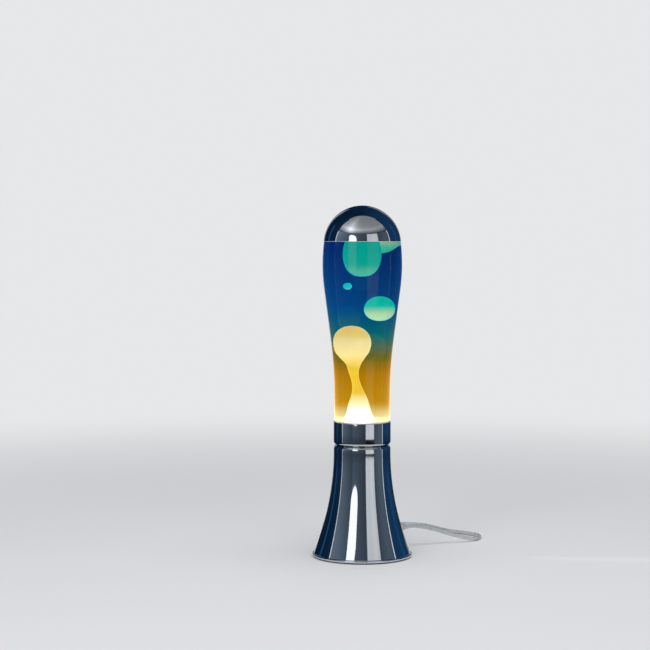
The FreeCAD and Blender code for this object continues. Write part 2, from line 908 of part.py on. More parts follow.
def make_bulb():
    """Reflector bulb: blown glass, screw cap, insulator, solder contact and filament."""
    inner_neck = "bulb_radius - bulb_curve + sqrt((bulb_curve - bulb_wall)^2 - (bulb_wide - bulb_neck_top)^2)"
    turned_body(
        "bulb_envelope",
        [
            ("0", "bulb_cap_top"),
            ("bulb_neck", "bulb_cap_top"),
            ("bulb_neck", "bulb_neck_top", "bulb_curve", LEFT),
            ("bulb_radius", "bulb_wide", "bulb_radius", LEFT),
            ("0", "bulb_top"),
            ("0", "bulb_top - bulb_wall", "bulb_radius - bulb_wall", RIGHT),
            ("bulb_radius - bulb_wall", "bulb_wide", "bulb_curve - bulb_wall", RIGHT),
            (inner_neck, "bulb_neck_top"),
            (inner_neck, "bulb_cap_top + bulb_wall"),
            ("0", "bulb_cap_top + bulb_wall"),
        ],
    )
    turned_body(
        "bulb_cap",
        [
            ("0", "bulb_cap_bottom"),
            ("bulb_cap_radius - bulb_cap_slope", "bulb_cap_bottom"),
            ("bulb_cap_radius", "bulb_cap_bottom + bulb_cap_slope"),
            ("bulb_cap_radius", "bulb_cap_top"),
            ("0", "bulb_cap_top"),
        ],
    )
    turned_body(
        "bulb_insulator",
        [
            ("0", "bulb_bottom + bulb_contact_height"),
            ("bulb_contact_radius", "bulb_bottom + bulb_contact_height"),
            ("bulb_cap_radius - bulb_cap_slope", "bulb_cap_bottom"),
            ("0", "bulb_cap_bottom"),
        ],
    )
    turned_body(
        "bulb_contact",
        [
            ("0", "bulb_bottom"),
            ("0.8 * bulb_contact_radius", "bulb_bottom"),
            ("bulb_contact_radius", "bulb_bottom + bulb_contact_height"),
            ("0", "bulb_bottom + bulb_contact_height"),
        ],
    )


def make_filament():
    """Two support wires on the glass foot with the coiled filament across them."""
    low = value("bulb_cap_top + bulb_wall")
    high = value("bulb_top - filament_drop")
    reach, thick = value("filament_reach"), value("filament_stem")
    along = FreeCAD.Vector(1, 0, 0)
    posts = []
    for side in (-1, 1):
        start = FreeCAD.Vector(side * thick / 2, 0, low + thick / 2)
        run = FreeCAD.Vector(side * reach, 0, high) - start
        posts.append(Part.makeCylinder(value("filament_post"), run.Length, start, run))
    across = Part.makeCylinder(value("filament_radius"), 2 * reach, FreeCAD.Vector(-reach, 0, high), along)
    stem = Part.makeCylinder(thick, value("filament_stem_height"), FreeCAD.Vector(0, 0, low))
    return shaped("bulb_filament", across.fuse(posts + [stem]).removeSplitter())


# The bottle with its liquid, wax and closure.


def bottle_side(inset):
    """The bottle's side from heel to ledge at a distance inside the outer skin, going up."""
    cone_low_z = "waist_top + waist_curve * sine"
    cone_low_r = "waist_radius + waist_curve * (1 - cosine)"
    cone_high_z = "belly - belly_curve * sine"
    cone_high_r = "belly_radius - belly_curve * (1 - cosine)"
    return [
        (f"waist_radius - ({inset})", "waist_top", f"waist_curve + {inset}", RIGHT),
        (f"{cone_low_r} - ({inset}) * cosine", f"{cone_low_z} + ({inset}) * sine"),
        (f"{cone_high_r} - ({inset}) * cosine", f"{cone_high_z} + ({inset}) * sine"),
    ]


def belly_edge(inset, height):
    """The belly's radius at a height, a distance inside the outer skin."""
    return f"belly_radius - belly_curve + sqrt((belly_curve - ({inset}))^2 - ({height} - (belly))^2)"


def bottle_inside(inset, top):
    """The inside of the bottle at an inset from the skin, from its floor up to a level in its mouth."""
    floor = f"bottle_foot + bottle_floor + ({inset}) - bottle_wall"
    curl = "spigot_round"
    lead_in = "ledge - ledge_ease"
    side = bottle_side(inset)
    last = side.pop()
    return [
        ("0", floor),
        (f"spigot_radius - ({inset}) - {curl}", floor, curl, LEFT),
        (f"spigot_radius - ({inset})", f"{floor} + {curl}"),
        (f"spigot_radius - ({inset})", "heel - heel_step"),
        (f"waist_radius - ({inset})", "heel + heel_round + heel_ease"),
        *side,
        (*last, f"belly_curve - ({inset})", LEFT),
        (belly_edge(inset, lead_in), lead_in),
        (f"bottle_shoulder - ({inset})", "ledge", f"bottle_shoulder_round - ({inset})", LEFT),
        ("bottle_shoulder - bottle_shoulder_round", f"bottle_top - ({inset})"),
        (f"mouth_radius - ({inset})", f"bottle_top - ({inset})"),
        (f"mouth_radius - ({inset})", top),
    ]


def make_bottle():
    """Moulded glass bottle with a spigot foot, a slim waist, a full belly and a narrow mouth."""
    side = bottle_side("0")
    last = side.pop()
    outside = [
        ("0", "bottle_foot"),
        ("spigot_radius - spigot_round", "bottle_foot", "spigot_round", LEFT),
        ("spigot_radius", "bottle_foot + spigot_round"),
        ("spigot_radius", "heel"),
        ("waist_radius - heel_round", "heel", "heel_round", LEFT),
        ("waist_radius", "heel + heel_round"),
        *side,
        (*last, "belly_curve", LEFT),
        (belly_edge("0", "ledge"), "ledge"),
        ("bottle_shoulder", "ledge", "bottle_shoulder_round", LEFT),
        ("bottle_shoulder - bottle_shoulder_round", "bottle_top"),
        ("mouth_radius + mouth_fillet", "bottle_top", "mouth_fillet", RIGHT),
        ("mouth_radius", "bottle_top + mouth_fillet"),
        ("mouth_radius", "mouth_top"),
    ]
    inside = bottle_inside("bottle_wall", "mouth_top")
    back = [(x, y) for x, y, *_ in reversed(inside)]
    arcs = [corner[2:] for corner in inside]
    for i, arc in enumerate(reversed(arcs[:-1])):
        if arc:
            back[i] = (*back[i], arc[0], -arc[1])
    return turned_body("bottle_glass", outside + back)


def make_bottle_closure():
    """Pressed metal cap on the bottle's mouth, and its liner."""
    inner = "mouth_radius + bottle_cap_play"
    lid = "mouth_top + liner_height"
    skirt = "mouth_top - bottle_cap_skirt"
    outer = f"{inner} + bottle_cap_wall"
    rim = "mouth_radius - bottle_cap_edge"
    turned_body(
        "bottle_cap",
        [
            (inner, skirt),
            (f"{outer} + bottle_cap_curl", skirt),
            (outer, f"{skirt} + bottle_cap_curl_height"),
            (outer, f"{lid} - bottle_cap_edge"),
            (f"{inner} - bottle_cap_edge", f"{lid} + bottle_cap_wall"),
            ("0", f"{lid} + bottle_cap_wall"),
            ("0", lid),
            (f"{inner} - bottle_cap_edge", lid),
            (inner, f"{lid} - bottle_cap_edge"),
        ],
    )
    turned_body("cap_liner", [("0", "mouth_top"), (rim, "mouth_top"), (rim, lid), ("0", lid)])


# The free wax: the stem of each egg's size names, and its centre across as shares of the belly's radius.
BLOBS = {
    "wax_upper_blob": ("upper_blob", -0.01, -0.252),
    "wax_side_blob": ("side_blob", 0.316, 0.4),
    "wax_middle_blob": ("middle_blob", 0.335, 0.0),
    "wax_bead": ("bead_of_wax", -0.278, 0.0),
}

# The column's shape: height, lean in x and radius, in any unit, as the column's own height and foot scale it.
COLUMN = [
    (0.0, 0.0, 24.4),
    (2.2, 0.0, 26.0),
    (4.8, -0.6, 25.4),
    (8.6, -2.2, 20.4),
    (13.1, -3.0, 15.3),
    (20.0, -2.8, 11.9),
    (28.4, -3.1, 9.7),
    (36.8, -3.0, 7.7),
    (45.2, -3.7, 5.4),
    (53.6, -5.1, 4.0),
    (62.0, -6.6, 3.8),
    (70.4, -7.8, 4.8),
    (78.8, -7.9, 6.9),
    (87.2, -9.1, 12.0),
    (93.6, -9.4, 15.6),
    (102.6, -9.4, 17.4),
    (111.6, -9.4, 16.2),
    (118.1, -9.4, 12.2),
    (122.1, -9.4, 6.8),
    (123.6, -9.4, 2.0),
]


def blob(name, extra):
    """An egg of wax, or with extra the slightly larger space that it floats in."""
    stem, x, y = BLOBS[name]
    room = " + wax_gap" if extra else ""
    egg = doc.addObject("Part::Ellipsoid", name + ("_space" if extra else ""))
    egg.Angle1, egg.Angle2, egg.Angle3 = -90, 90, 360
    bind(egg, Radius1=f"{stem}_rise{room}", Radius2=f"{stem}_radius{room}", Radius3=f"{stem}_radius{room}")
    wide = value("belly_radius")
    egg.Placement = turned(0, at=(x * wide, y * wide, value(f"{stem}_middle")))
    return egg


def column(name, extra):
    """The rising column lofted through circles, or with extra the space that it stands in."""
    rings = []
    floor = value("wax_floor")
    up = value("column_height") / COLUMN[-1][0]
    across = value("column_foot") / max(radius for _, _, radius in COLUMN)
    room = value("wax_gap") if extra else 0
    for i, (height, lean, radius) in enumerate(COLUMN):
        ring = doc.addObject("Part::Circle", f"{name}_ring_{i}")
        ring.Radius = radius * across + room
        shift = room if i == len(COLUMN) - 1 else -room * 2 if i == 0 else 0
        ring.Placement = turned(0, at=(lean * across, 0, floor + height * up + shift))
        rings.append(ring)
    loft = doc.addObject("Part::Loft", name)
    loft.Label = name
    loft.Sections = rings
    loft.Solid = True
    return loft


def make_wire_ring():
    """Weighted wire ring that lies in the wax on the bottle's floor."""
    ring = doc.addObject("Part::Torus", "wire_ring")
    ring.Label = "wire_ring"
    bind(ring, Radius1="ring_radius", Radius2="ring_wire")
    ring.Placement = turned(0, at=(0, 0, value("bottle_foot + bottle_floor + ring_wire + ring_lift")))
    return ring


def make_wax_and_liquid():
    """Wax column round the wire ring, free blobs, and the liquid with a space for each."""
    whole = column("wax_body", False)
    trench = turned_body(
        "ring_trench",
        [
            ("ring_radius - ring_wire - wax_gap", "bottle_foot"),
            ("ring_radius + ring_wire + wax_gap", "bottle_foot"),
            ("ring_radius + ring_wire + wax_gap", "bottle_foot + bottle_floor + 2 * ring_wire + wax_gap"),
            ("ring_radius - ring_wire - wax_gap", "bottle_foot + bottle_floor + 2 * ring_wire + wax_gap"),
        ],
    )
    cut_from("wax_column", whole, trench)
    for name in BLOBS:
        blob(name, False).Label = name
    spaces = [column("column_space", True)] + [blob(name, True) for name in BLOBS]
    brim = bottle_inside("bottle_wall + liquid_gap", "liquid_top")
    filled = turned_body("filled_bottle", brim + [("0", "liquid_top")])
    cut_from("liquid", filled, joined("wax_spaces", spaces))


# The chrome dome.


def make_dome():
    """Pressed dome that covers the bottle's shoulder, and its soft rim ring."""
    inner_rim = "sqrt((dome_radius - dome_wall)^2 - (dome_rim - dome_centre)^2)"
    turned_body(
        "dome_cap",
        [
            (inner_rim, "dome_rim"),
            ("dome_rim_radius", "dome_rim", "dome_radius", LEFT),
            ("0", "dome_top"),
            ("0", "dome_top - dome_wall", "dome_radius - dome_wall", RIGHT),
        ],
    )
    outer = "dome_rim_radius - dome_gasket_inset"
    inner = outer + " - dome_gasket_width"
    turned_body("dome_gasket", [(inner, "ledge"), (outer, "ledge"), (outer, "dome_rim"), (inner, "dome_rim")])


# The lead: where it leaves, what holds it inside, and the wires to the lampholder.


def make_relief():
    """Moulded strain relief that grips the shell's hole and tapers along the lead."""
    body = turned_body(
        "cord_relief",
        [
            ("0", "relief_inner"),
            ("relief_flange - relief_nut_inset", "relief_inner"),
            ("relief_flange - relief_nut_inset", "-shell_wall - relief_back"),
            ("relief_neck", "-shell_wall - relief_back"),
            ("relief_neck", "relief_seat"),
            ("relief_flange", "relief_seat"),
            ("relief_flange", "relief_flange_height"),
            ("relief_root", "relief_flange_height + relief_step"),
            ("relief_tip", "relief_length"),
            ("0", "relief_length"),
        ],
    )
    body.Placement = exit_place("0")
    return body


def tube_path(points):
    """Straight runs joined by tangent arcs, each arc as large as its two runs allow. Gives wire and radii."""
    spots = [FreeCAD.Vector(*p) for p in points]
    edges = []
    radii = []
    last = spots[0]
    for before, corner, after in zip(spots, spots[1:], spots[2:]):
        come = (corner - before).normalize()
        go = (after - corner).normalize()
        turn = math.acos(max(-1.0, min(1.0, come.dot(go))))
        trim = 0.45 * min((corner - before).Length, (after - corner).Length)
        radii.append(trim / math.tan(turn / 2))
        start, end = corner - come * trim, corner + go * trim
        inward = (go - come).normalize()
        sagitta = radii[-1] * (1 / math.cos(turn / 2) - 1)
        edges.append(Part.LineSegment(last, start).toShape())
        edges.append(Part.Arc(start, corner + inward * sagitta, end).toShape())
        last = end
    edges.append(Part.LineSegment(last, spots[-1]).toShape())
    return Part.Wire(edges), radii


def tube(name, points, radius):
    """A round tube along a route, with its radii, length and volume printed."""
    path, radii = tube_path(points)
    heading = FreeCAD.Vector(*points[1]) - FreeCAD.Vector(*points[0])
    ring = Part.Wire(Part.makeCircle(radius, FreeCAD.Vector(*points[0]), heading))
    solid = path.makePipeShell([ring], True, False)
    fair = math.pi * radius**2 * path.Length
    share = solid.Volume / fair
    print(f"{name}: length {path.Length:.1f}, tightest {min(radii):.1f}, volume {share:.4f} of its share")
    return shaped(name, solid)


def make_relief_route():
    """The lead from the strain relief to the switch: out, down to the floor and round behind the lamp."""
    out = exit_place("relief_length")
    start = out.Base
    ahead = out.multVec(FreeCAD.Vector(0, 0, 9.5))
    low = value("cord_radius")
    end_x = value("coil_x + coil_reach")
    end_y = value("switch_rear")
    end_z = value("switch_cord_height")
    return [
        tuple(start),
        tuple(ahead),
        (63.8, 71.5, 24.6),
        (79.5, 78.5, 21.5),
        (98.0, 84.5, 16.0),
        (117.0, 90.0, 9.3),
        (139.0, 96.5, 3.4),
        (149.3, 107.4, low),
        (152.9, 121.9, low),
        (148.7, 136.3, low),
        (136.1, 148.4, low),
        (115.5, 163.0, low),
        (102.8, 182.0, low),
        (94.6, 197.6, low),
        (85.8, 210.5, low),
        (71.5, 216.8, low),
        (end_x + 17.7, end_y + 33.4, 3.2),
        (end_x + 6.4, end_y + 25.6, 5.4),
        (end_x, end_y + 13.4, end_z),
        (end_x, end_y, end_z),
    ]


def make_link_route():
    """The short free lead from the switch down to the coil."""
    x = value("coil_x + coil_reach")
    near, far = value("coil_start"), value("switch_front")
    high, low = value("switch_cord_height"), value("low_layer")
    return [(x, far, high), (x, far - 9.7, high), (x, near + 9.7, low), (x, near, low)]


def biarc(start, go, end, arrive):
    """Two tangent arcs between two places with given directions."""
    span = end - start
    both = go + arrive
    spare = 2 * (1 - go.dot(arrive))
    if spare < 1e-9:
        reach = span.dot(span) / (2 * span.dot(both))
    else:
        reach = (-span.dot(both) + math.sqrt(span.dot(both) ** 2 + spare * span.dot(span))) / spare
    joint = (start + end + (go - arrive) * reach) * 0.5
    return [arc_from(start, go, joint), arc_from(end, arrive * -1, joint)[::-1]]


def arc_from(start, go, end):
    """The three points of the arc that leaves start in a direction and ends at end."""
    chord = end - start
    inward = chord - go * chord.dot(go)
    half = math.acos(max(-1.0, min(1.0, chord.dot(go) / chord.Length)))
    radius = chord.Length / (2 * math.sin(half))
    middle = (start + end) * 0.5
    outward = (middle - (start + inward.normalize() * radius)).normalize()
    return [start, start + inward * radius + outward * radius, end]


HALF_TURNS = 13
CLIMB = 6


def coil_point(half):
    """The coil's place and direction after a number of half turns, clockwise from its right side."""
    inward = min(half, CLIMB, HALF_TURNS - half) if half <= CLIMB else HALF_TURNS - half
    radius = value("coil_reach") - value("coil_pitch") * inward / 2
    height = value("low_layer") if half <= CLIMB else value("high_layer")
    side = 1 if half % 2 == 0 else -1
    return (
        FreeCAD.Vector(value("coil_x") + side * radius, value("coil_y"), height),
        FreeCAD.Vector(0, -side, 0),
    )


def make_coil():
    """Spare lead in a neat round coil of two layers that spirals in, climbs a layer and spirals out."""
    across = 2 * value("cord_radius")
    stops = [coil_point(half) for half in range(HALF_TURNS + 1)]
    arcs = []
    for (start, go), (end, arrive) in zip(stops, stops[1:]):
        arcs += biarc(start, go, end, arrive)
    first = stops[0][0] - stops[0][1] * across
    last = stops[-1][0] + stops[-1][1] * across
    edges = [Part.LineSegment(first, stops[0][0]).toShape()]
    edges += [Part.Arc(*arc).toShape() for arc in arcs]
    edges.append(Part.LineSegment(stops[-1][0], last).toShape())
    path = Part.Wire(edges)
    ring = Part.Wire(Part.makeCircle(across / 2, first, stops[0][1]))
    solid = path.makePipeShell([ring], True, False)
    places = path.discretize(Distance=1.5)
    skip = int(math.pi * value("coil_mid_radius") / 1.5)
    nearest = min(
        (places[i] - places[j]).Length for i in range(len(places)) for j in range(i + skip, len(places))
    )
    share = solid.Volume / (math.pi * (across / 2) ** 2 * path.Length)
    tightest = min(edge.Curve.Radius for edge in path.Edges if hasattr(edge.Curve, "Radius"))
    print(
        f"cord_coil: length {path.Length:.1f}, least gap {nearest - across:.2f}, "
        f"tightest {tightest:.1f}, volume {share:.4f} of its share"
    )
    return shaped("cord_coil", solid), last


def make_tie():
    """Flat tie round the coil's bundle, at the back of the coil."""
    middle = "coil_mid_radius - coil_pitch / 4"
    inner = f"{middle} - coil_pitch - cord_radius - tie_gap - tie_dip"
    outer = f"{middle} + coil_pitch + cord_radius + tie_gap"
    low = value("coil_y") + value(inner)
    depth = f"{outer} - ({inner})"
    height = "high_layer + cord_radius + tie_gap - tie_wall"
    left = value("coil_x - tie_width / 2")
    place = turned(0, at=(left - 1, low, value("tie_wall")))
    hollow = box("tie_hollow", "tie_width + 2", depth, height, place)
    block = box(
        "tie_block",
        "tie_width",
        depth + " + 2 * tie_wall",
        height + " + 2 * tie_wall",
        turned(0, at=(left, low - value("tie_wall"), 0)),
    )
    return cut_from("cord_tie", block, hollow)


def make_plug(start):
    """Flat two-pin plug with a tapered tail, lying beside the coil, pins away from the lamp."""
    body = new_body("plug_body")
    half_w, half_l = "plug_width / 2", "plug_length / 2"
    sketch = new_sketch(body, "XY_Plane", "-plug_height / 2")
    draw_outline(
        sketch,
        [
            ("plug_tail_root", f"-{half_l}"),
            (f"{half_w} * 0.62", f"-{half_l} * 0.45"),
            (f"{half_w} - 3", "0"),
            (half_w, f"{half_l} * 0.62"),
            (f"{half_w} - 2.5", half_l),
            (f"2.5 - {half_w}", half_l),
            (f"-{half_w}", f"{half_l} * 0.62"),
            (f"3 - {half_w}", "0"),
            (f"-{half_w} * 0.62", f"-{half_l} * 0.45"),
            ("-plug_tail_root", f"-{half_l}"),
        ],
    )
    block = pad(body, sketch, "plug_height")
    doc.recompute()
    rims = [
        f"Edge{i + 1}"
        for i, edge in enumerate(block.Shape.Edges)
        if abs(edge.tangentAt(edge.FirstParameter).z) < 0.5
    ]
    smooth = body.newObject("PartDesign::Fillet", "Edges")
    smooth.Base = (block, rims)
    bind(smooth, Radius="plug_edge")
    tail = body.newObject("PartDesign::AdditiveCone", "Tail")
    bind(tail, Radius1="cord_radius + tail_room", Radius2="plug_tail_root")
    bind(tail, Height="plug_tail + pin_root")
    lift = value("high_layer - plug_height / 2")
    tail.Placement = turned(-90, (1, 0, 0), (0, -value("plug_length / 2 + plug_tail"), lift))
    across = value("pin_spacing / 2")
    front, root = value("plug_length / 2"), value("plug_length / 2 - pin_root")
    for side in (-1, 1):
        sleeve = body.newObject("PartDesign::AdditiveCone", "PinSleeve")
        bind(sleeve, Radius1="pin_sleeve", Radius2="pin_sleeve_end")
        bind(sleeve, Height="pin_sleeve_length + pin_root / 2")
        sleeve.Placement = turned(-90, (1, 0, 0), (side * across, (front + root) / 2, 0))
        hole = body.newObject("PartDesign::SubtractiveCylinder", "PinHole")
        bind(hole, Radius="pin_core + pin_fit", Height="pin_root + pin_sleeve_length + pin_fit")
        hole.Placement = turned(-90, (1, 0, 0), (side * across, root, 0))
    middle = start + FreeCAD.Vector(0, value("plug_tail + plug_length / 2"), -lift)
    body.Placement = turned(0, at=tuple(middle))
    shank = "pin_root + pin_sleeve_length"
    bare = "pin_length - pin_sleeve_length - pin_radius"
    pins = []
    for i, side in enumerate((-1, 1)):
        foot = middle + FreeCAD.Vector(side * across, root, 0)
        neck = foot + FreeCAD.Vector(0, value(shank), 0)
        core = cylinder(f"pin_{i}_core", "pin_core", shank, turned(-90, (1, 0, 0), tuple(foot)))
        shaft = cylinder(f"pin_{i}_shaft", "pin_radius", bare, turned(-90, (1, 0, 0), tuple(neck)))
        tip = doc.addObject("Part::Sphere", f"pin_{i}_tip")
        bind(tip, Radius="pin_radius")
        tip.Placement = turned(0, at=tuple(neck + FreeCAD.Vector(0, value(bare), 0)))
        pins.append(joined(f"pin_{i}", [core, shaft, tip]))
    group("plug_pins", pins)
    return middle


# The switch on the lead, lying behind the lamp with its cord running along Y.


def at_switch(x="0", y="0", z="0"):
    """A placement in the switch's own frame, on the floor under its middle."""
    return turned(0, at=(value(f"coil_x + coil_reach + {x}"), value(f"switch_middle + {y}"), value(z)))


def make_switch():
    """Two moulded halves, a rocker on its pin, two screws and two contacts."""
    lower = new_body("switch_lower")
    outline = new_sketch(lower, "XY_Plane")
    draw_outline(outline, rounded_box("switch_width", "switch_length", "switch_corner"))
    pad(lower, outline, "switch_split")
    well = new_sketch(lower, "XY_Plane", "switch_split")
    draw_outline(well, plain_box("switch_well_width", "switch_well_length"))
    cut_down(lower, well, "switch_split - switch_floor")
    drill_switch(lower)
    lower.Placement = at_switch()

    upper = new_body("switch_upper")
    outline = new_sketch(upper, "XY_Plane", "switch_split")
    draw_outline(outline, rounded_box("switch_width", "switch_length", "switch_corner"))
    block = pad(upper, outline, "switch_height - switch_split")
    doc.recompute()
    top = [
        f"Edge{i + 1}"
        for i, edge in enumerate(block.Shape.Edges)
        if abs(edge.BoundBox.ZMin - value("switch_height")) < 0.01
    ]
    smooth = upper.newObject("PartDesign::Fillet", "Edges")
    smooth.Base = (block, top)
    bind(smooth, Radius="switch_edge")
    window = new_sketch(upper, "XY_Plane")
    draw_outline(window, plain_box("rocker_window_width", "rocker_length + 4 * rocker_play"))
    cut_through(upper, window)
    drill_switch(upper)
    hole = upper.newObject("PartDesign::SubtractiveCylinder", "PinHole")
    bind(hole, Radius="rocker_pin_radius + rocker_pin_fit", Height="rocker_pin_length")
    hole.Placement = turned(90, (0, 1, 0), (-value("rocker_pin_length / 2"), 0, value("rocker_pin_height")))
    upper.Placement = at_switch()

    pin = cylinder(
        "switch_pin",
        "rocker_pin_radius",
        "rocker_pin_length - 2 * rocker_pin_play",
        at_switch("rocker_pin_play - rocker_pin_length / 2", "0", "rocker_pin_height").multiply(
            turned(90, (0, 1, 0))
        ),
    )
    pin.Label = "switch_pin"
    make_rocker()
    make_switch_screws()
    make_switch_contacts()


def drill_switch(body):
    """Two screw holes through a half, at opposite corners of the well."""
    for side in (-1, 1):
        sketch = new_sketch(body, "XY_Plane")
        sign = "" if side == 1 else "-"
        spot = (f"{sign}(switch_screw_x)", f"{sign}(switch_screw_y)")
        draw_circle(sketch, *spot, "small_screw_radius + thread_play")
        hole = body.newObject("PartDesign::Pocket", "ScrewHole")
        hole.Profile = sketch
        hole.SideType = "Symmetric"
        bind(hole, Length="2 * (switch_height - switch_screw_cover + switch_screw_sink)")


def make_rocker():
    """See-saw rocker, pressed down at its rear end when the lamp is on."""
    body = new_body("switch_rocker")
    sketch = new_sketch(body, "YZ_Plane")
    half = "rocker_length / 2"
    draw_outline(
        sketch,
        [
            (half, "rocker_side"),
            (half, "rocker_rise"),
            ("0", "rocker_rise - rocker_dish"),
            (f"-{half}", "rocker_rise"),
            (f"-{half}", "rocker_side"),
            ("-rocker_heel", "-rocker_heel"),
            ("rocker_heel", "-rocker_heel"),
        ],
    )
    draw_circle(sketch, "0", "0", "rocker_pin_radius + rocker_pin_play")
    pad(body, sketch, "rocker_window_width - 2 * rocker_play", symmetric=True)
    body.Placement = at_switch(z="rocker_pin_height").multiply(turned(-value("rocker_tilt"), (1, 0, 0)))
    return body


def make_switch_screws():
    """Two screws up through the lower half, their heads flush in the floor face."""
    screws = []
    for i, side in enumerate((-1, 1)):
        x, y = (f"{side} * switch_screw_x", f"{side} * switch_screw_y")
        place = at_switch(x, y, "switch_screw_sink")
        length = "switch_height - switch_screw_cover - switch_screw_sink"
        screws.append(cylinder(f"switch_screw_{i + 1}", "small_screw_radius", length, place))
    return group("switch_screws", screws)


def make_switch_contacts():
    """Two brass strips on the well's floor, one at each end."""
    across = "-strip_width / 2"
    base = "switch_floor"
    inner = "strip_length"
    strips = []
    for i, side in enumerate((-1, 1)):
        flat = box(
            f"strip_{i}_flat",
            "strip_width",
            "strip_length",
            "strip_wall",
            at_switch(across, f"{side} * (switch_well_length / 2 - strip_end) - strip_length / 2", base),
        )
        post = box(
            f"strip_{i}_post",
            "strip_width",
            "strip_wall",
            "strip_rise",
            at_switch(across, f"{side} * (switch_well_length / 2 - {inner}) - strip_wall / 2", base),
        )
        strips.append(joined(f"strip_{i}", [flat, post]))
    return group("switch_contacts", strips)


# Inside the base: clamp, terminal block and wires, on the line of the lead's exit.


def on_bearing(along, across, height):
    """A point on the plate in the frame of the lead's bearing."""
    angle = math.radians(value("cord_bearing"))
    return (
        along * math.cos(angle) - across * math.sin(angle),
        along * math.sin(angle) + across * math.cos(angle),
        height,
    )


def make_clamp():
    """Cord clamp: a block with a channel over the lead, on two screws."""
    bearing = value("cord_bearing")
    circle = value("clamp_circle")
    corner = on_bearing(circle - value("clamp_length / 2"), -value("clamp_width / 2"), value("plate_top"))
    place = turned(bearing, at=corner)
    block = box("clamp_block", "clamp_length", "clamp_width", "clamp_height", place)
    mouth = on_bearing(circle - value("clamp_length"), 0, value("inner_height"))
    along = turned(bearing, at=mouth).multiply(turned(90, (0, 1, 0)))
    channel = cylinder("clamp_channel", "cord_radius + clamp_play", "2 * clamp_length", along)
    open_sided = cut_from("clamp_open", block, channel)
    screws, drills = [], []
    for i, side in enumerate((-1, 1)):
        spot = on_bearing(circle, side * value("clamp_screw_spacing / 2"), value("plate_top + clamp_height"))
        screws.append(
            screw(
                f"clamp_screw_{i}",
                "small_screw_head",
                "small_screw_head_height",
                "small_screw_radius",
                "clamp_height",
                turned(0, at=spot),
            )
        )
        foot = turned(0, at=(spot[0], spot[1], value("plate_top")))
        drills.append(cylinder(f"clamp_drill_{i}", "small_screw_radius + thread_play", "clamp_height", foot))
    cut_from("cord_clamp", open_sided, joined("clamp_drills", drills))
    group("clamp_screws", screws)


def make_terminal_block():
    """Two-way terminal block on the plate with its wire screws and wire bores."""
    bearing = value("cord_bearing")
    length = value("block_length")
    back = value("block_circle") - length / 2
    block = box(
        "block_body",
        "block_length",
        "block_width",
        "block_height",
        turned(bearing, at=on_bearing(back, -value("block_width / 2"), value("plate_top"))),
    )
    screws, drills = [], []
    for i, across in enumerate((-1, 1)):
        for k, along in enumerate((-1, 1)):
            spot = on_bearing(
                value("block_circle") + along * length / 4,
                across * value("block_pitch / 2"),
                value("plate_top + block_height"),
            )
            foot = turned(0, at=(spot[0], spot[1], spot[2] - value("terminal_well_depth")))
            drills.append(
                cylinder(f"block_drill_{i}_{k}", "terminal_well_radius", "2 * terminal_well_depth", foot)
            )
            low = turned(0, at=(spot[0], spot[1], spot[2] - value("terminal_well_depth - thread_play")))
            screws.append(
                cylinder(f"terminal_screw_{i}_{k}", "terminal_screw_radius", "terminal_screw_height", low)
            )
    cut_from("terminal_block", block, joined("block_drills", drills))
    group("terminal_screws", screws)


def make_inner_leads():
    """The sheathed lead from the relief through the clamp to the block, and two wires up to the holder."""
    inner = exit_place("relief_inner")
    start = inner.Base
    level = value("inner_height")
    slope = inner.multVec(FreeCAD.Vector(0, 0, 1)) - start
    bend = start - slope * ((start.z - level) / slope.z)
    end = on_bearing(value("block_circle + block_length / 2"), 0, level)
    tube("inner_cord", [tuple(start), tuple(bend), end], value("cord_radius"))
    edge = value("block_circle - block_length / 2")
    rise = value("plate_top + block_height / 2")
    climb = value("holder_bottom") - rise
    reach = value("holder_radius - 1.5 * inner_lead_radius - holder_wall / 2")
    for name, side, x, y in (("live_lead", 1, -reach, 2.0), ("neutral_lead", -1, reach, -1.5)):
        across = side * value("block_pitch / 2")
        low = on_bearing(edge - 0.18 * climb, across, rise + 0.11 * climb)
        tube(
            name,
            [
                on_bearing(edge, across, rise),
                on_bearing(edge - 0.1 * climb, across, rise),
                low,
                ((low[0] + x) / 2, (low[1] + y) / 2, rise + 0.33 * climb),
                (x + 0.5 * side, y + 0.3, rise + 0.56 * climb),
                (x, y, rise + 0.78 * climb),
                (x, y, rise + climb),
            ],
            value("inner_lead_radius"),
        )


# The nodes, in the order of the assembly.

NODES = [
    "foot_ring",
    "base_plate",
    "plate_lugs",
    "plate_screws",
    "base_shell",
    "collar",
    "collar_screws",
    "collar_nuts",
    "seat_gasket",
    "holder_bracket",
    "holder_body",
    "holder_sleeve",
    "holder_contact",
    "holder_nipple",
    "holder_nut",
    "bulb_envelope",
    "bulb_cap",
    "bulb_insulator",
    "bulb_contact",
    "bulb_filament",
    "bottle_glass",
    "bottle_cap",
    "cap_liner",
    "liquid",
    "wire_ring",
    "wax_column",
    "wax_upper_blob",
    "wax_side_blob",
    "wax_middle_blob",
    "wax_bead",
    "dome_cap",
    "dome_gasket",
    "cord_relief",
    "cord_clamp",
    "clamp_screws",
    "terminal_block",
    "terminal_screws",
    "inner_cord",
    "live_lead",
    "neutral_lead",
    "cord_run",
    "switch_lower",
    "switch_upper",
    "switch_rocker",
    "switch_pin",
    "switch_screws",
    "switch_contacts",
    "cord_link",
    "cord_coil",
    "cord_tie",
    "plug_body",
    "plug_pins",
]


